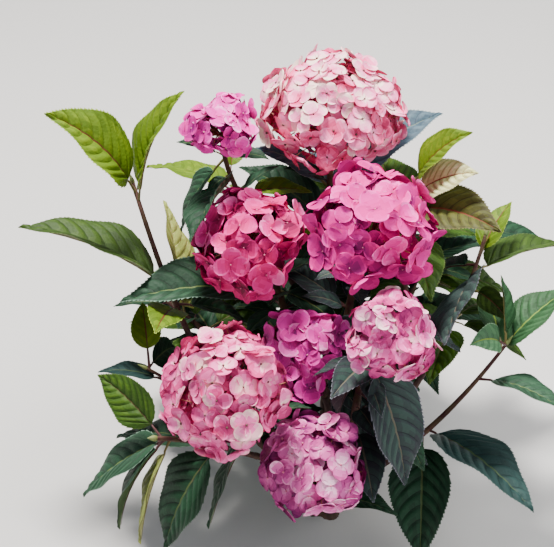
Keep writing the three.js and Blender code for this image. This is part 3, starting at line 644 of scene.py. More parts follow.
class Route:
    """The curve of a shoot's axis, from the crown or the parent shoot to the tip or its bloom's neck."""

    def __init__(self, shoot, routes):
        out = heading(*shoot["out"])
        axis = heading(*shoot["arrive"])
        if "parent" in shoot:
            start = routes[shoot["parent"]].point(shoot["share"])
        else:
            start = HEART + out * CANE_ROOT
        end = np.array(shoot["tip"], float) - axis * (shoot["bloom"] * NECK)
        reach = np.linalg.norm(end - start)
        self.corners = (start, start + out * (reach * HOLD_OUT), end - axis * (reach * HOLD_IN), end)

    def point(self, share):
        """The point at a share of the curve."""
        a, b, c, d = self.corners
        rest = 1 - share
        return a * rest**3 + b * (3 * rest * rest * share) + c * (3 * rest * share * share) + d * share**3

    def tangent(self, share):
        """The unit direction of the curve at a share of it."""
        a, b, c, d = self.corners
        rest = 1 - share
        slope = (b - a) * (rest * rest) + (c - b) * (2 * rest * share) + (d - c) * (share * share)
        return slope / np.linalg.norm(slope)

    def length(self, start=0.0, end=1.0):
        """The length of the curve between two shares."""
        points = [self.point(start + (end - start) * i / CHORDS) for i in range(CHORDS + 1)]
        return sum(float(np.linalg.norm(b - a)) for a, b in zip(points[:-1], points[1:]))

    def share_from_heart(self, distance):
        """The share at which the curve is a distance from the crown's heart."""
        low, high = 0.0, 0.5
        for _ in range(HALVINGS):
            middle = (low + high) / 2
            if np.linalg.norm(self.point(middle) - HEART) < distance:
                low = middle
            else:
                high = middle
        return low


def all_routes():
    """The route of every shoot, parents first."""
    routes = {}
    for name, shoot in SHOOTS.items():
        routes[name] = Route(shoot, routes)
    return routes


def radius_at(name, share):
    """The radius of a limb at a share of its route."""
    foot, tip = SHOOTS[name]["radii"]
    return foot + (tip - foot) * share


class Leaf:
    """A leaf's stalk and blade: it arches over, twists and folds along its midrib."""

    def __init__(self, shoot, root, bearing, rise, length, seed, kind, tone, twist=None):
        self.shoot, self.root, self.bearing, self.rise = shoot, root, bearing, rise
        self.length, self.seed, self.kind, self.tone, self.given = length, seed, kind, tone, twist
        self.small = kind == "small"
        self.bend = math.radians(vary(BEND, chance(*seed, 1)))
        self.twist = math.radians((chance(*seed, 2) - 0.5) * TWIST if twist is None else twist)
        self.fold = math.radians(vary(FOLD, chance(*seed, 3)))
        self.broad = length * (BREADTH[kind] + BREADTH_MORE * chance(*seed, 4))
        self.stalk = PETIOLE * vary(PETIOLE_SHARE, chance(*seed, 5)) * (SMALL_PETIOLE if self.small else 1)
        self.start_rise = math.radians(rise) + self.bend / 2
        self.ahead = heading(bearing, 0)
        self.sideways = heading(bearing + 90, 0)
        self.blade = root + heading(bearing, math.degrees(self.start_rise)) * self.stalk
        self.middle = self.midrib(np.array([0.5]))[0]

    def midrib(self, t):
        """Points of the midrib at shares of the blade."""
        level = (math.sin(self.start_rise) - np.sin(self.start_rise - self.bend * t)) / self.bend
        rise = (np.cos(self.start_rise - self.bend * t) - math.cos(self.start_rise)) / self.bend
        return self.blade + (level * self.length)[:, None] * self.ahead + (rise * self.length)[:, None] * UP

    def frames(self, t):
        """The sideways direction and the upper side's normal at shares of the blade."""
        angle = self.start_rise - self.bend * t
        tangent = np.cos(angle)[:, None] * self.ahead + np.sin(angle)[:, None] * UP
        upright = np.cross(tangent, self.sideways)
        side = self.sideways * math.cos(self.twist) + upright * math.sin(self.twist)
        return side, np.cross(tangent, side)

    def half_width(self, t):
        """Half the blade's width at shares of it."""
        inside = np.clip(t, 0.0, 1.0)
        flank = (inside / BROADEST) ** BLADE_BASE
        return self.broad * flank * ((1 - inside) / (1 - BROADEST)) ** BLADE_TIP

    def at(self, t, u, lift=0.0):
        """Points of the blade, with u from -1 at one edge to 1 at the other, lifted off it by lift."""
        side, normal = self.frames(t)
        width = self.half_width(t)
        out = self.midrib(t) + side * (u * width * math.cos(self.fold))[:, None]
        return out + normal * (np.abs(u) * width * math.sin(self.fold) + lift)[:, None]

    def samples(self, start):
        """Points spread over the blade from a share of it to the tip."""
        rows, sides = [], []
        for i in range(SAMPLE_ROWS + 1):
            t = i / SAMPLE_ROWS
            if t < start:
                continue
            edge = i in (0, SAMPLE_ROWS)
            for j in (0,) if edge else range(-SAMPLE_SIDES, SAMPLE_SIDES + 1):
                rows.append(t)
                sides.append(j / SAMPLE_SIDES)
        return self.at(np.array(rows), np.array(sides))

    def facets(self):
        """The blade as a few flat triangles, from the stalk to the tip."""
        triangles = []
        for near, far in zip(TEST_ROWS[:-1], TEST_ROWS[1:]):
            a, b, c = self.at(np.full(3, near), np.array([-1.0, 0.0, 1.0]))
            d, e, f = self.at(np.full(3, far), np.array([-1.0, 0.0, 1.0]))
            triangles += [(a, b, d), (b, e, d), (b, c, e), (c, f, e)]
        triangles = np.array(triangles)
        cross = np.cross(triangles[:, 1] - triangles[:, 0], triangles[:, 2] - triangles[:, 0])
        return triangles[np.linalg.norm(cross, axis=1) > LEAST_CROSS]


def least_distance(points, triangles):
    """The least distance from any point to any triangle."""
    a, b, c = (triangles[:, None, i] for i in range(3))
    spots = points[None, :, :]
    ab, ac, ap = b - a, c - a, spots - a
    normal = np.cross(ab, ac)
    size = (normal * normal).sum(-1)
    far = (np.cross(np.broadcast_to(ab, ap.shape), ap) * normal).sum(-1) / size
    near = (np.cross(ap, np.broadcast_to(ac, ap.shape)) * normal).sum(-1) / size
    inside = (far >= 0) & (near >= 0) & (far + near <= 1)
    best = np.where(inside, np.abs((ap * normal).sum(-1)) / np.sqrt(size), np.inf)
    for start, end in ((a, b), (b, c), (c, a)):
        edge = end - start
        share = np.clip(((spots - start) * edge).sum(-1) / (edge * edge).sum(-1), 0, 1)
        best = np.minimum(best, np.linalg.norm(spots - start - share[..., None] * edge, axis=-1))
    return best.min()


def in_bloom(points, shoot):
    """Whether any of the points lies in a shoot's flower head or too close to it."""
    offset = points - np.array(shoot["tip"], float)
    radius = shoot["bloom"]
    height = offset @ heading(*shoot["arrive"])
    outward = np.sqrt(np.maximum(0, (offset * offset).sum(-1) - height * height))
    share = np.hypot(outward / (radius + GAP_BLOOM), height / (radius * BLOOM_DEPTH + GAP_BLOOM))
    dome = (share < 1) & (height > SKIRT * radius - GAP_BLOOM)
    return bool((dome | (share < CORE + GAP_CORE)).any())


def limb_segments(name, route):
    """Starts, spans and radii of the limb that leaves keep clear of, up into its bloom."""
    shoot = SHOOTS[name]
    points = [route.point(i / LIMB_STEPS) for i in range(LIMB_STEPS + 1)]
    radii = [radius_at(name, i / LIMB_STEPS) for i in range(LIMB_STEPS + 1)]
    if shoot["bloom"]:
        points.append(np.array(shoot["tip"], float) - heading(*shoot["arrive"]) * (shoot["bloom"] / 2))
        radii.append(shoot["radii"][1])
    points = np.array(points)
    return points[:-1], points[1:] - points[:-1], np.array(radii[:-1])


def is_clear(leaf, limbs, kept, gap):
    """Whether a leaf keeps clear of the ground, the flower heads, the limbs and the leaves kept so far."""
    points = leaf.samples(0)
    if points[:, 2].min() < GAP_GROUND:
        return False
    if any(shoot["bloom"] and in_bloom(points, shoot) for shoot in SHOOTS.values()):
        return False
    late = leaf.samples(OWN_CLEAR)
    for name, (start, span, radius) in limbs.items():
        offset = (late if name == leaf.shoot else points)[None] - start[:, None]
        share = np.clip((offset * span[:, None]).sum(-1) / (span * span).sum(-1)[:, None], 0, 1)
        gaps = np.linalg.norm(offset - share[..., None] * span[:, None], axis=-1)
        if (gaps < radius[:, None] + GAP_LIMB).any():
            return False
    for other in kept:
        if np.linalg.norm(other.middle - leaf.middle) > REACH_SHARE * (leaf.length + other.length):
            continue
        same = other.shoot == leaf.shoot
        triangles = other.tested[OWN_FACETS:] if same else other.tested
        if least_distance(late if same else points, triangles) < gap:
            return False
    return True


def offered_leaves(routes):
    """All leaves that the solids' rule offers: first of every pair, then second, then two small ones."""
    first, second, third = [], [], []
    for i, (name, shoot) in enumerate(SHOOTS.items()):
        for j, (share, bearing, rise, length, partner, *twist) in enumerate(shoot["pairs"]):
            root = routes[name].point(share)
            tone = shoot["tones"][j]
            first.append(Leaf(name, root, bearing, rise, length, (i, j * 4), "first", tone, *twist))
            if partner == 0:
                continue
            turned = bearing + 180 + SECOND_TURN * (chance(i, j, 7) - 0.5)
            tilt = rise / 2 - SECOND_DROP
            second.append(Leaf(name, root, turned, tilt, length * partner, (i, j * 4 + 1), "second", tone))
            for side in (0, 1):
                turned = bearing + 90 + 180 * side + SMALL_TURN * (chance(i, j, 8 + side) - 0.5)
                tilt = vary(SMALL_RISE, chance(i, j, 10 + side))
                size = vary(SMALL_LENGTH, chance(i, j, 12 + side))
                third.append(Leaf(name, root, turned, tilt, size, (i, j * 4 + 2 + side), "small", tone))
    return first + second + third


def young_leaves(routes):
    """Finer leaves that the solids leave out: pairs up a shoot, each turned a quarter from the last."""
    young = []
    for i, (name, shoot) in enumerate(SHOOTS.items()):
        if name in BARE_SHOOTS:
            continue
        route = routes[name]
        count = max(1, int(route.length(shoot["foliage"], 1.0) / YOUNG_STEP))
        for j in range(count):
            share = shoot["foliage"] + (1 - shoot["foliage"]) * (j + YOUNG_START) / count
            for side in (0, 1):
                seed = (i + YOUNG_SEED, j * 2 + side)
                turned = 90 * j + 180 * side + YOUNG_TURN * (chance(*seed, 6) - 0.5)
                tilt = vary(YOUNG_RISE, chance(*seed, 7))
                size = vary(YOUNG_LENGTH, chance(*seed, 8))
                tone = shoot["tones"][int(chance(*seed, 9) * len(shoot["tones"]))]
                young.append(Leaf(name, route.point(share), turned, tilt, size, seed, "small", tone))
    return young


GROWN = {}


def growth(settings):
    """The routes and the leaves, grown once. Each leaf tries a few headings and may be left out."""
    if GROWN:
        return GROWN
    routes = all_routes()
    limbs = {name: limb_segments(name, route) for name, route in routes.items()}
    kept = []
    young_gap = settings.leaf_shape.young_gap / MM
    for offers, gap in ((offered_leaves(routes), GAP_LEAF), (young_leaves(routes), young_gap)):
        for offer in offers:
            for turn, tilt, share in TRIES[:SMALL_TRIES] if offer.small else TRIES:
                leaf = Leaf(
                    offer.shoot, offer.root, offer.bearing + turn, offer.rise + tilt,
                    offer.length * share, offer.seed, offer.kind, offer.tone, offer.given,
                )
                if is_clear(leaf, limbs, kept, gap):
                    leaf.tested = leaf.facets()
                    kept.append(leaf)
                    break
    GROWN.update(routes=routes, leaves=kept)
    return GROWN


# Meshes


def placed(name, data):
    """A new object of a mesh, lamp or camera, put in the scene."""
    made = bpy.data.objects.new(name, data)
    bpy.context.scene.collection.objects.link(made)
    return made


class Patchwork:
    """Points and faces of one piece, gathered from many sheets and tubes, in millimetres."""

    def __init__(self):
        self.points, self.quads, self.quad_slots, self.count = [], [], [], 0

    def add(self, points, quads, slots):
        """Quads are rows of four point numbers. A face with two equal numbers side by side is a triangle."""
        slots = np.broadcast_to(np.asarray(slots, int), (len(quads),))
        corners = points[quads]
        area = np.linalg.norm(np.cross(corners[:, 2] - corners[:, 0], corners[:, 3] - corners[:, 1]), axis=1)
        solid = area > LEAST_AREA
        self.points.append(points)
        self.quads.append(quads[solid] + self.count)
        self.quad_slots.append(slots[solid])
        self.count += len(points)

    def add_tube(self, points, radii, sides, slot, relief=None):
        """A tube along points, closed to a point at each end. Relief swells it by ring and side."""
        points = np.asarray(points, float)
        tangents = np.gradient(points, axis=0)
        tangents /= np.linalg.norm(tangents, axis=1)[:, None]
        side = np.cross(tangents[0], UP if abs(tangents[0][2]) < 0.8 else np.array([1.0, 0.0, 0.0]))
        rings = []
        turns = even_turns(sides)
        for i, (point, tangent, radius) in enumerate(zip(points, tangents, radii)):
            side = side - tangent * (side @ tangent)
            side /= np.linalg.norm(side)
            up = np.cross(tangent, side)
            size = radius * (1.0 if relief is None else relief[i])
            spokes = np.cos(turns)[:, None] * side + np.sin(turns)[:, None] * up
            rings.append(point + spokes * np.reshape(size, (-1, 1)))
        first, last = points[:1].repeat(sides, 0), points[-1:].repeat(sides, 0)
        self.add(np.concatenate([first, *rings, last]), tube_quads(len(points) + 2, sides), slot)

    def piece(self, name, materials):
        """A mesh object of everything gathered, with its materials, in metres."""
        points = np.concatenate(self.points) * MM
        faces = []
        for quad in np.concatenate(self.quads).tolist():
            faces.append([corner for k, corner in enumerate(quad) if corner != quad[k - 1]])
        mesh = bpy.data.meshes.new(name)
        mesh.from_pydata(points.tolist(), [], faces)
        for material in materials:
            mesh.materials.append(material)
        mesh.polygons.foreach_set("material_index", np.concatenate(self.quad_slots).astype(np.int32))
        mesh.polygons.foreach_set("use_smooth", np.ones(len(faces), bool))
        mesh.update()
        return placed(name, mesh)


def even_turns(sides):
    """The angles of points spread evenly round a ring."""
    return np.arange(sides) * 2 * math.pi / sides


def sheet_quads(rows, columns):
    """The faces of a grid of points, row by row."""
    corner = (np.arange(rows - 1)[:, None] * columns + np.arange(columns - 1)[None, :]).ravel()
    return np.stack([corner, corner + 1, corner + columns + 1, corner + columns], axis=1)


def tube_quads(rings, sides):
    """The faces of rings of equal size in a row."""
    ring = np.arange(rings - 1)[:, None] * sides
    here = np.arange(sides)[None, :]
    after = (here + 1) % sides
    return np.stack([(ring + k).ravel() for k in (here, after, after + sides, here + sides)], axis=1)


def add_limb(patchwork, name, route, start, end, sides, spacing, rough):
    """Adds a limb between two shares with ridges along it, joints round it and small knobs all over it."""
    count = max(LEAST_RINGS, int(route.length(start, end) / spacing))
    shares = np.linspace(start, end, count + 1)
    seed = list(SHOOTS).index(name)
    rng = np.random.default_rng(seed + LIMB_SEED)
    turns = even_turns(sides)
    lengths = np.linspace(0, route.length(start, end), count + 1)[:, None]
    ridges = sum(
        height * np.sin(n * turns + twist * lengths + shift * seed) for n, twist, shift, height in RIDGES)
    from_joint = (lengths + JOINT_SHIFT * chance(seed, 3)) % JOINT_STEP - JOINT_STEP / 2
    joints = JOINT_SWELL * np.exp(-((from_joint / JOINT_SPREAD) ** 2))
    knobs = rng.normal(0, KNOB_HEIGHT, (count + 1, sides))
    relief = 1 + rough * (ridges + knobs) + joints * (JOINT_EVEN + JOINT_SIDED * np.cos(2 * turns + seed))
    points, radii = [route.point(s) for s in shares], [radius_at(name, s) for s in shares]
    patchwork.add_tube(points, radii, sides, 0, relief)


def leaf_grid(veins, columns, swells):
    """Shares along and across a blade whose rows follow its side veins, and each row's swell and kind."""
    half = np.array(columns)
    across = np.concatenate([-half[:0:-1], half])
    rows = [(0.0, fan, BASE_SWELL * fan, "blade") for fan in BASE_ROWS]
    for vein in range(veins):
        rows += [((vein + step) / veins, 1.0, swell, kind) for kind, step, swell in swells]
    rows.append((1.0, 1.0, 0.0, "blade"))
    start, fan, swell, kinds = (np.array(values) for values in zip(*rows))
    start = start[:, None]
    along = start + LEAN * np.abs(across)[None, :] ** LEAN_CURVE * (1 - start) ** LEAN_FADE * fan[:, None]
    return along, across, swell, kinds


def leaf_relief(leaf, shape, t, u, swell, phase):
    """How far points lie above the plain blade: quilted, sunk at the midrib and waved at the edge."""
    edge = np.abs(u)
    size = leaf.length / SIZE_UNIT
    quilt = swell * np.sin(math.pi * np.clip(edge, 0, 1) ** QUILT_FALL) * (shape.quilt / MM) * size
    rib = -RIB_DEPTH * size * np.exp(-((edge / RIB_BREADTH) ** 2)) * (1 - t)
    sweep = np.sin(phase + 2 * math.pi * WAVES * t + np.sign(u) * WAVE_LAG)
    wave = shape.wave * leaf.length * edge**WAVE_EDGE * sweep * np.sin(math.pi * np.clip(t, 0, 1)) ** 0.5
    return quilt + rib + wave


def leaf_tints(place, middle, kinds, phase, rng):
    """Light, middle or dark for each face of a blade, by drifting patches, painted shade on the flank beside
    a vein, a painted highlight on the crest between veins and a darker margin.
    """
    drift = np.sin(phase + 7 * place + 2 * middle) + np.sin(2.1 * phase - 11 * middle + 4 * place)
    # Painted shade on the flanks beside the veins and a painted highlight on the crests between them
    slope = np.where(kinds == "flank", PAINTED_FLANK_SHADE, np.where(kinds == "crest", PAINTED_CREST_LIGHT, 0.0))
    grain = rng.normal(0, TINT_GRAIN, len(place))
    tone = drift * TINT_DRIFT + slope + grain - EDGE_SHADE * (np.abs(middle) > EDGE_BAND)
    return np.where(tone > TINT_STEP, LIGHT, np.where(tone > -TINT_STEP, MIDDLE, DARK))


def add_leaf(leaf, shape, patchwork, rng):
    """Adds a blade: its upper side, its underside and its teeth, each face with its own tint."""
    small = leaf.length < SMALL_BLADE
    columns = SMALL_COLUMNS if small else FULL_COLUMNS
    veins = max(LEAST_VEINS, shape.veins - FEWER_VEINS) if small else shape.veins
    along, across, swell, kinds = leaf_grid(veins, columns, SMALL_SWELLS if small else FULL_SWELLS)
    rows, count = along.shape
    t = along.ravel()
    u = np.broadcast_to(across, along.shape).ravel()
    phase = PHASE_SPAN * chance(*leaf.seed, 20)
    lift = leaf_relief(leaf, shape, t, u, np.repeat(swell, count), phase)
    upper = leaf.at(t, u, lift)
    quads = sheet_quads(rows, count)
    middle = (u[quads[:, 0]] + u[quads[:, 1]]) / 2
    face_kinds = np.repeat(kinds[:-1], count - 1)
    is_vein = (face_kinds == "vein") & (np.abs(middle) < VEIN_END)
    is_rib = np.abs(middle) < columns[1]
    tint = leaf_tints(t[quads].mean(axis=1), middle, face_kinds, phase, rng)
    patchwork.add(upper, quads, np.where(is_rib, MIDRIB, np.where(is_vein, VEIN, tint)))
    # The underside's faces are turned over so that they split along the same diagonal
    lower = leaf.at(t, u, lift - shape.thickness / MM)
    patchwork.add(lower, quads[:, (0, 3, 2, 1)], np.where(is_vein | is_rib, UNDER_VEIN, UNDER))
    size = leaf.length / SIZE_UNIT
    side = leaf.frames(t)[0]
    stops = np.flatnonzero(kinds != "vein")
    for column, sign in ((0, -1), (count - 1, 1)):
        marks = stops * count + column
        near, far = upper[marks[:-1]], upper[marks[1:]]
        span = np.linalg.norm(far - near, axis=1)
        reach = (shape.tooth / MM) * size * np.clip(span / (TOOTH_SPAN * size), 0, 1)
        apex = near + (far - near) * TOOTH_LEAN + side[marks[:-1]] * sign * reach[:, None]
        n = len(near)
        k = np.arange(n)
        faces = np.stack([k, k + n, k + 2 * n, k + 2 * n], axis=1)
        patchwork.add(np.concatenate([near, far, apex]), faces[:, ::-sign], TEETH)


def add_leaf_stalk(leaf, patchwork, slot):
    """Adds a leaf's stalk, which runs on under the blade as its raised midrib."""
    steps = np.linspace(0, 1, STALK_POINTS)[:-1]
    ribs = np.linspace(0, RIB_END, SMALL_RIB_POINTS if leaf.small else RIB_POINTS)
    under = leaf.at(ribs, np.zeros(len(ribs)), np.full(len(ribs), -RIB_SUNK))
    path = [leaf.root + (leaf.blade - leaf.root) * s for s in steps] + list(under)
    radii = [STALK_RADIUS - STALK_TAPER * s for s in steps] + [RIB_RADIUS * (1 - RIB_TAPER * s) for s in ribs]
    scale = SMALL_STALK if leaf.small else 1.0
    patchwork.add_tube(path, [radius * scale for radius in radii], STALK_SIDES, slot)


def spun(normal, spin):
    """Three axes with Z along the normal, spun about it."""
    x = np.cross(UP if abs(normal[2]) < 0.9 else np.array([1.0, 0.0, 0.0]), normal)
    x /= np.linalg.norm(x)
    y = np.cross(normal, x)
    c, s = math.cos(spin), math.sin(spin)
    return np.array([x * c + y * s, y * c - x * s, normal])


def spiral(count, skirt, phase):
    """Directions spread evenly over a dome, by the golden angle, down to the height of its skirt."""
    height = 1 - (np.arange(count) + 0.5) * (1 - skirt) / count
    turn = np.arange(count) * GOLDEN_ANGLE + phase
    outward = np.sqrt(1 - height * height)
    return np.stack([np.cos(turn) * outward, np.sin(turn) * outward, height], axis=1)


def sepal(length, width, cup, crease, phase):
    """Points of one sepal in its floret's own frame: X along it, Y across it and Z outward."""
    t = np.repeat(SEPAL_ROWS, len(SEPAL_COLUMNS))
    u = np.tile(SEPAL_COLUMNS, len(SEPAL_ROWS))
    half = width * np.sin(math.pi * np.clip(t, 0, 1)) ** 0.5 * vary(SEPAL_TAPER, t)
    rise = cup * length * t**2 + crease * length * u**2 * np.sin(math.pi * t) ** 0.5
    rise = rise + RIPPLE * length * t**2 * np.sin(RIPPLE_TURN * u + phase)
    along = length * (t - SEPAL_NOTCH * np.abs(u) * np.sin(math.pi * t))
    return np.stack([along, u * half, rise], axis=1)


# Materials


def finish(name, colour, surface):
    """A material of one plain colour with the surface of one of the finishes: a fine grain, or cells."""
    roughness, gloss, size, depth = FINISHES[surface]
    cells = surface in CELLED
    material = bpy.data.materials.new(name)
    material.use_nodes = True
    nodes, links = material.node_tree.nodes, material.node_tree.links
    shader = nodes["Principled BSDF"]
    shader.inputs["Base Color"].default_value = (*colour, 1.0)
    shader.inputs["Roughness"].default_value = roughness
    shader.inputs["Specular IOR Level"].default_value = gloss
    place = nodes.new("ShaderNodeTexCoord")
    grain = nodes.new("ShaderNodeTexVoronoi" if cells else "ShaderNodeTexNoise")
    if cells:
        grain.feature = "SMOOTH_F1"
        grain.inputs["Smoothness"].default_value = CELL_SMOOTHNESS
    else:
        grain.inputs["Detail"].default_value = GRAIN_DETAIL
    grain.inputs["Scale"].default_value = 1.0 / size
    bump = nodes.new("ShaderNodeBump")
    bump.inputs["Strength"].default_value = RELIEF_STRENGTH
    bump.inputs["Distance"].default_value = depth
    links.new(place.outputs["Object"], grain.inputs["Vector"])
    links.new(grain.outputs["Distance" if cells else "Fac"], bump.inputs["Height"])
    links.new(bump.outputs["Normal"], shader.inputs["Normal"])
    return material


def bark(name, base, patch):
    """The finish of a bark, with patches of a second colour over its first."""
    material = finish(name, base, name)
    nodes, links = material.node_tree.nodes, material.node_tree.links
    place = nodes.new("ShaderNodeTexCoord")
    patches = nodes.new("ShaderNodeTexNoise")
    patches.inputs["Scale"].default_value = PATCH_SCALE / FINISHES[name][2]
    patches.inputs["Detail"].default_value = PATCH_DETAIL
    ramp = nodes.new("ShaderNodeValToRGB")
    for stop, position, colour in zip(ramp.color_ramp.elements, PATCH_STOPS, (base, patch)):
        stop.position = position
        stop.color = (*colour, 1.0)
    links.new(place.outputs["Object"], patches.inputs["Vector"])
    links.new(patches.outputs["Fac"], ramp.inputs["Fac"])
    links.new(ramp.outputs["Color"], nodes["Principled BSDF"].inputs["Base Color"])
    return material


def leaf_materials(settings, tone):
    """One finish for each part of a leaf of this tone, made once."""
    colours = getattr(settings, f"leaf_{tone}")
    made = []
    for part in LEAF_PARTS:
        name = f"leaf_{tone}_{part}"
        material = bpy.data.materials.get(name)
        if material is None:
            surface = "underside" if part.startswith("under") else "blade"
            material = finish(name, getattr(colours, part), surface)
        made.append(material)
    return made


def petal_materials(settings, tone):
    """One finish for each step from the deepest tint of this set of petals to its palest, made once."""
    colours = getattr(settings, f"petals_{tone}")
    named = np.array([getattr(colours, part) for part in PETAL_PARTS])
    anchors = range(len(PETAL_PARTS))
    made = []
    for step, place in enumerate(np.linspace(0, len(PETAL_PARTS) - 1, PETAL_STEPS)):
        name = f"petal_{tone}_{step + 1}"
        material = bpy.data.materials.get(name)
        if material is None:
            mixed = [float(np.interp(place, anchors, channel)) for channel in named.T]
            material = finish(name, mixed, "petal")
        made.append(material)
    return made


def settle(piece, slot, *nodes):
    """Rides a piece on the plant and hides the solids that it stands for; the slot it is given is not used.
    """
    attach(piece, BODY)
    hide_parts(*nodes)


# Operators


class HYDRANGEA_OT_stage(Operator):
    """Lay the pale floor, hang the lights and set the photograph's camera"""

    bl_idname = "hydrangea.stage"
    bl_label = "Stage"

    def execute(self, context):
        scene = context.scene
        paper = bpy.data.meshes.new("floor")
        square = ((-1, -1), (1, -1), (1, 1), (-1, 1))
        paper.from_pydata([(FLOOR_REACH * x, FLOOR_REACH * y, 0) for x, y in square], [], [(0, 1, 2, 3)])
        paper.materials.append(finish("floor_paper", FLOOR_COLOUR, "floor"))
        placed("floor", paper)
        for name, place, size, power, colour in LAMPS:
            data = bpy.data.lights.new(name, "AREA")
            data.size = size
            data.energy = power
            data.color = colour
            lamp = placed(name, data)
            lamp.location = place
            lamp.rotation_euler = (Vector(LAMP_AIM) - Vector(place)).to_track_quat("-Z", "Y").to_euler()
        world = bpy.data.worlds.new("soft_sky")
        world.use_nodes = True
        sky = world.node_tree.nodes["Background"]
        sky.inputs["Color"].default_value = SKY_COLOUR
        sky.inputs["Strength"].default_value = SKY_STRENGTH
        scene.world = world
        data = bpy.data.cameras.new("photo_camera")
        data.sensor_width = SENSOR_WIDTH
        data.lens = SENSOR_WIDTH * FOCAL_PIXELS / PHOTO_WIDTH
        data.clip_start, data.clip_end = CAMERA_CLIP
        camera = placed("photo_camera", data)
        camera.location = CAMERA_PLACE
        camera.rotation_euler = (math.radians(90 - CAMERA_PITCH), 0, 0)
        scene.camera = camera
        return {"FINISHED"}


class HYDRANGEA_OT_crown(Operator):
    """Grow the woody crown: a flared foot with the stub of every cane, fused and weathered"""

    bl_idname = "hydrangea.crown"
    bl_label = "Crown"

    def execute(self, context):
        settings = context.scene.hydrangea
        routes = growth(settings)["routes"]
        rough = Patchwork()
        turns = even_turns(CROWN_SIDES)
        outline = np.array(CROWN_OUTLINE, float)
        marks = np.arange(len(outline))
        fine = np.linspace(0, len(outline) - 1, CROWN_RINGS)
        radii, heights = (np.interp(fine, marks, values) for values in outline.T)
        rings = []
        for radius, height in zip(radii, heights):
            size = radius * (1 + FLARE_DEPTH * np.cos(FLARE_LOBES * turns) * max(0.0, 1 - height / STUB))
            ring = (np.cos(turns) * size, np.sin(turns) * size, np.full(CROWN_SIDES, height))
            rings.append(np.stack(ring, axis=1))
        rough.add(np.concatenate(rings), tube_quads(CROWN_RINGS, CROWN_SIDES), 0)
        for name, shoot in SHOOTS.items():
            if "parent" not in shoot:
                end = routes[name].share_from_heart(CANE_ROOT + STUB - STUB_SHORT)
                add_limb(rough, name, routes[name], 0.0, end, BARK_SIDES, STUB_SPACING, 1.0)
        material = bark("crown_bark", settings.wood.crown_bark, settings.wood.crown_crack)
        draft = rough.piece("crown_draft", [material])
        remesh = draft.modifiers.new("fuse", "REMESH")
        remesh.mode = "VOXEL"
        remesh.voxel_size = CROWN_GRAIN
        remesh.use_smooth_shade = True
        fused = bpy.data.meshes.new_from_object(draft.evaluated_get(context.evaluated_depsgraph_get()))
        bpy.data.objects.remove(draft)
        self.weather(fused)
        fused.materials.clear()
        fused.materials.append(material)
        settle(placed("crown_wood", fused), "crown_bark", "crown")
        return {"FINISHED"}

    def weather(self, mesh):
        """Gives the fused wood long furrows and keeps its underside flat on the ground."""
        points, normals = (np.empty(len(mesh.vertices) * 3) for _ in range(2))
        mesh.vertices.foreach_get("co", points)
        mesh.vertices.foreach_get("normal", normals)
        points, normals = points.reshape(-1, 3), normals.reshape(-1, 3)
        x, y, z = (points / MM).T
        turn = np.arctan2(y, x)
        furrows = sum(np.sin(n * turn + twist * z + shift) * depth for n, twist, shift, depth in FURROWS)
        knots = np.sin(0.9 * x + 0.6 * z) * np.sin(0.8 * y - 0.5 * z) * KNOT_DEPTH
        inward = np.minimum(furrows + knots - LEAST_FURROW, 0.0)
        points = points + normals * (inward * MM)[:, None]
        points[:, 2] = np.maximum(points[:, 2], 0.0)
        mesh.vertices.foreach_set("co", points.ravel())
        mesh.update()


class HYDRANGEA_OT_canes(Operator):
    """Grow the bark of every cane, from the crown or the parent cane to its leaves"""

    bl_idname = "hydrangea.canes"
    bl_label = "Canes"

    def execute(self, context):
        settings = context.scene.hydrangea
        routes = growth(settings)["routes"]
        material = bark("cane_bark", settings.wood.cane_bark, settings.wood.cane_patch)
        for name, shoot in SHOOTS.items():
            route = routes[name]
            start = 0.0 if "parent" in shoot else route.share_from_heart(CANE_ROOT + STUB - CANE_OVERLAP)
            patchwork = Patchwork()
            add_limb(patchwork, name, route, start, shoot["foliage"], BARK_SIDES, CANE_SPACING, 1.0)
            settle(patchwork.piece(f"bark_{name}", [material]), "cane_bark", f"cane_{name}")
        return {"FINISHED"}


class HYDRANGEA_OT_shoots(Operator):
    """Grow the green shoots with their leaf stalks and buds"""

    bl_idname = "hydrangea.shoots"
    bl_label = "Shoots"

    def execute(self, context):
        settings = context.scene.hydrangea
        grown = growth(settings)
        wood = settings.wood
        materials = [
            bark("shoot_skin", wood.shoot, wood.shoot_flush),
            finish("leaf_stalk", wood.stalk, "leaf_stalk"),
            finish("leaf_stalk_flushed", wood.shoot_flush, "leaf_stalk"),
            finish("bud_scale", wood.bud, "bud"),
        ]
        for name, shoot in SHOOTS.items():
            patchwork = Patchwork()
            start = shoot["foliage"] - SHOOT_OVERLAP
            route = grown["routes"][name]
            add_limb(patchwork, name, route, start, 1.0, SHOOT_SIDES, SHOOT_SPACING, SHOOT_ROUGHNESS)
            for leaf in grown["leaves"]:
                if leaf.shoot == name:
                    flushed = leaf.tone in FLUSHED_TONES or chance(*leaf.seed, 21) > FLUSHED_SHARE
                    add_leaf_stalk(leaf, patchwork, FLUSHED_SLOT if flushed else STALK_SLOT)
            if not shoot["bloom"]:
                self.bud(route, shoot, patchwork)
            settle(patchwork.piece(f"shoot_{name}", materials), "leaf", f"leaves_{name}")
        return {"FINISHED"}

    def bud(self, route, shoot, patchwork):
        """Adds the pointed bud at the tip of a shoot that doesn't flower."""
        tip, ahead = route.point(1.0), route.tangent(1.0)
        steps = np.linspace(0, 1, BUD_POINTS)
        path = [tip + ahead * (BUD_LENGTH * s - BUD_OVERLAP) for s in steps]
        foot = shoot["radii"][1]
        swell = [BUD_FOOT + BUD_BELLY * math.sin(math.pi * s**BUD_FALL) for s in steps]
        radii = [foot * size * (1 - BUD_TAPER * s) for size, s in zip(swell, steps)]
        patchwork.add_tube(path, radii, BUD_SIDES, BUD_SLOT)


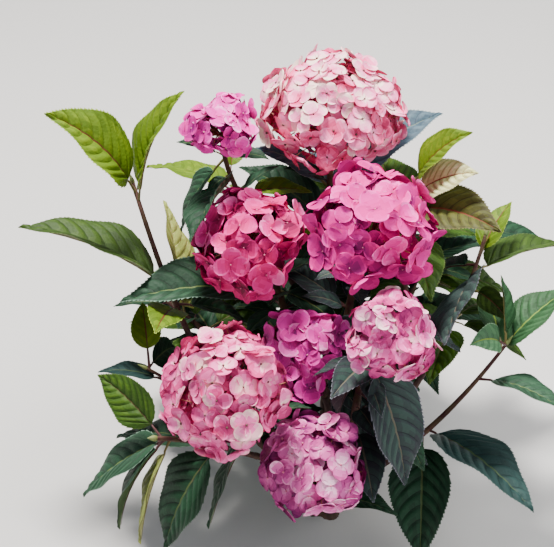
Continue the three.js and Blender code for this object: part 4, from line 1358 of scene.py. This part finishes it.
class HYDRANGEA_OT_leaves(Operator):
    """Grow the quilted, toothed leaves of every mass"""

    bl_idname = "hydrangea.leaves"
    bl_label = "Leaves"

    def execute(self, context):
        settings = context.scene.hydrangea
        leaves = growth(settings)["leaves"]
        for i, name in enumerate(SHOOTS):
            own = [leaf for leaf in leaves if leaf.shoot == name]
            tones = sorted({leaf.tone for leaf in own})
            patchwork = Patchwork()
            rng = np.random.default_rng(LEAF_SEED + i)
            for leaf in own:
                first = len(patchwork.quad_slots)
                add_leaf(leaf, settings.leaf_shape, patchwork, rng)
                for slots in patchwork.quad_slots[first:]:
                    slots += tones.index(leaf.tone) * len(LEAF_PARTS)
            materials = [material for tone in tones for material in leaf_materials(settings, tone)]
            settle(patchwork.piece(f"foliage_{name}", materials), "leaf", f"leaves_{name}")
        return {"FINISHED"}


class HYDRANGEA_OT_blooms(Operator):
    """Grow every flower head: florets of four sepals on a branched stalk"""

    bl_idname = "hydrangea.blooms"
    bl_label = "Flower heads"

    def execute(self, context):
        settings = context.scene.hydrangea
        wood = settings.wood
        stalk = finish("flower_stalk", wood.flower_stalk, "flower_stalk")
        open_bead = finish("bead_open", wood.open_bead, "bead")
        closed_bead = finish("bead_closed", wood.closed_bead, "bead")
        for i, (name, shoot) in enumerate(SHOOTS.items()):
            if not shoot["bloom"]:
                continue
            rng = np.random.default_rng(BLOOM_SEED + i)
            petals, stalks = Patchwork(), Patchwork()
            self.head(shoot, settings.bloom_shape, petals, stalks, rng)
            tone = shoot["petals"]
            bead = open_bead if tone in OPEN_BEADS else closed_bead
            florets = petals.piece(f"florets_{name}", [*petal_materials(settings, tone), bead])
            settle(florets, PETAL_SLOTS[tone], f"bloom_{name}")
            settle(stalks.piece(f"flower_stalks_{name}", [stalk]), PETAL_SLOTS[tone], f"bloom_{name}")
        return {"FINISHED"}

    def head(self, shoot, shape, petals, stalks, rng):
        """Adds one flower head: its outer florets, the inner ones and the stalks to them all."""
        radius, size = shoot["bloom"], shoot["floret"]
        middle, axis = np.array(shoot["tip"], float), heading(*shoot["arrive"])
        axes = spun(axis, 0.0)
        fork = middle - axis * (radius * FORK)
        neck = middle - axis * (radius * NECK - NECK_GAP)
        foot = shoot["radii"][1]
        stalks.add_tube([neck, (neck + fork) / 2, fork], [foot, foot, foot * FORK_SWELL], NECK_SIDES, 0)
        outer = round(shape.cover * (radius / size) ** 2)
        hubs = spiral(max(LEAST_CLUSTERS, round(outer / shape.cluster)), SKIRT, 0.0)
        layers = (
            (outer, 1.0, 1.0, SKIRT - SKIRT_DROP, 0.0),
            (round(outer * shape.inner), INNER_LEVEL, INNER_SIZE, SKIRT, INNER_TURN),
        )
        for count, level, scale, skirt, phase in layers:
            for direction in spiral(count, skirt, phase):
                direction = direction + rng.normal(0, SCATTER, 3)
                direction /= np.linalg.norm(direction)
                aside = direction - hubs[np.argmax(hubs @ direction)]
                reach = radius * level * rng.uniform(*REACH) * (1 - shape.lump * (aside @ aside))
                place = middle + (direction * (reach, reach, reach * BLOOM_DEPTH)) @ axes
                slope = direction * (1, 1, 1 / BLOOM_DEPTH)
                lean = rng.normal(0, math.sin(shape.tilt) / 2, 3)
                slope = slope / np.linalg.norm(slope) + aside * LEAN_ASIDE + lean
                normal = (slope / np.linalg.norm(slope)) @ axes
                # Painted light from above: the upper florets of a head are paler and the lower ones deeper
                shade = PETAL_SHADES[shoot["petals"]] + PAINTED_TOP_LIGHT * (direction[2] - TOP_MIDDLE)
                shade += rng.normal(0, FLORET_SPREAD)
                # Painted shade: the inner florets are deeper, as if in the shadow of the outer ones
                shade -= PAINTED_INNER_SHADE if level < 1 else 0
                length = size * scale * rng.uniform(*FLORET_SIZE)
                self.floret(place, normal, length, shade, shoot, shape, petals, rng)
                self.pedicel(place, normal, fork, axis, radius, stalks, rng)

    def floret(self, place, normal, size, shade, shoot, shape, petals, rng):
        """Adds a floret: four overlapping sepals round a bead."""
        axes = spun(normal, rng.uniform(0, math.pi))
        rows, columns = len(SEPAL_ROWS), len(SEPAL_COLUMNS)
        quads = sheet_quads(rows, columns)
        out = np.repeat((SEPAL_ROWS[1:] + SEPAL_ROWS[:-1]) / 2, columns - 1)
        aside = np.abs(np.tile((SEPAL_COLUMNS[1:] + SEPAL_COLUMNS[:-1]) / 2, rows - 1))
        heart = np.clip(1 - out / HEART_REACH, 0, 1)
        rim = np.clip((np.maximum(out, aside) - RIM_START) / RIM_BREADTH, 0, 1)
        pale = shoot["petals"] in PALE_TONES
        pale_heart = pale and rng.random() < PALE_HEART_SHARE
        # Pale-hearted florets carry their own colouring; on the others the darker heart is partly painted
        # shade and the paler rim partly a painted highlight
        change = PALE_HEART * heart - DARK_RIM * rim if pale_heart else PALE_RIM_AND_HIGHLIGHT * rim - DARK_HEART_AND_SHADE * heart
        bowl = rng.normal(CUPPED if rng.random() < CUPPED_SHARE else BENT_BACK, BOWL_SPREAD)
        for k in range(SEPALS):
            spread = k * 2 * math.pi / SEPALS + rng.normal(0, SEPAL_TURN)
            length = size * rng.uniform(*SEPAL_LENGTH)
            cup = bowl + rng.normal(0, BOWL_SPREAD)
            breadth = length * rng.uniform(*SEPAL_BREADTH)
            points = sepal(length, breadth, cup, rng.normal(*CREASE), rng.uniform(0, 6))
            points[:, 2] += OVERLAP if k % 2 else 0.0
            c, s = math.cos(spread), math.sin(spread)
            x, y = points[:, 0].copy(), points[:, 1].copy()
            points[:, 0], points[:, 1] = c * x - s * y, s * x + c * y
            own = shade + rng.normal(0, SEPAL_SPREAD) + change + rng.normal(0, FACE_SPREAD, len(change))
            tint = np.clip(np.rint(own), 0, PETAL_STEPS - 1).astype(int)
            petals.add(place + points @ axes, quads, tint)
        bead = shape.bead / MM * rng.uniform(*BEAD_SIZE) * (1.0 if pale else CLOSED_BEAD)
        path = [place + normal * (bead * step + BEAD_LIFT) for step, share in BEAD_PROFILE]
        radii = [bead * share for step, share in BEAD_PROFILE]
        petals.add_tube(path, radii, STALK_SIDES, PETAL_STEPS)

    def pedicel(self, place, normal, fork, axis, radius, stalks, rng):
        """Adds the thin stalk that carries a floret, bent from the fork out to its back."""
        back = place - normal * PEDICEL_GAP
        bend = back - normal * (np.linalg.norm(back - fork) * PEDICEL_BEND)
        start = fork + axis * (radius * rng.uniform(0.0, FORK_SPREAD))
        steps = np.linspace(0, 1, PEDICEL_POINTS)
        path = [start * (1 - s) ** 2 + bend * (2 * s * (1 - s)) + back * s**2 for s in steps]
        stalks.add_tube(path, [PEDICEL_RADIUS - PEDICEL_TAPER * s for s in steps], PEDICEL_SIDES, 0)


class HYDRANGEA_PT_panel(Panel):
    """Lists what grows the shrub, in its order, and all that can be changed on it"""

    bl_idname = "HYDRANGEA_PT_panel"
    bl_label = "Hydrangea"
    bl_space_type = "VIEW_3D"
    bl_region_type = "UI"
    bl_category = "Hydrangea"

    def draw(self, context):
        settings = context.scene.hydrangea
        for operator in OPERATORS:
            self.layout.operator(operator.bl_idname)
        for group in HYDRANGEA_PG_shrub.__annotations__:
            box = self.layout.box()
            box.label(text=group.replace("_", " ").capitalize())
            values = getattr(settings, group)
            for field in type(values).__annotations__:
                box.prop(values, field)


OPERATORS = (
    HYDRANGEA_OT_stage,
    HYDRANGEA_OT_crown,
    HYDRANGEA_OT_canes,
    HYDRANGEA_OT_shoots,
    HYDRANGEA_OT_leaves,
    HYDRANGEA_OT_blooms,
)
CLASSES = (
    *TONE_GROUPS.values(),
    HYDRANGEA_PG_wood,
    HYDRANGEA_PG_leaf_shape,
    HYDRANGEA_PG_bloom_shape,
    HYDRANGEA_PG_shrub,
    *OPERATORS,
    HYDRANGEA_PT_panel,
)


def register():
    for cls in CLASSES:
        bpy.utils.register_class(cls)
    bpy.types.Scene.hydrangea = PointerProperty(type=HYDRANGEA_PG_shrub)


def unregister():
    del bpy.types.Scene.hydrangea
    for cls in reversed(CLASSES):
        bpy.utils.unregister_class(cls)


def main():
    """Registers the add-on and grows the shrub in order."""
    register()
    bpy.ops.hydrangea.stage()
    bpy.ops.hydrangea.crown()
    bpy.ops.hydrangea.canes()
    bpy.ops.hydrangea.shoots()
    bpy.ops.hydrangea.leaves()
    bpy.ops.hydrangea.blooms()


if __name__ == "__main__":
    main()
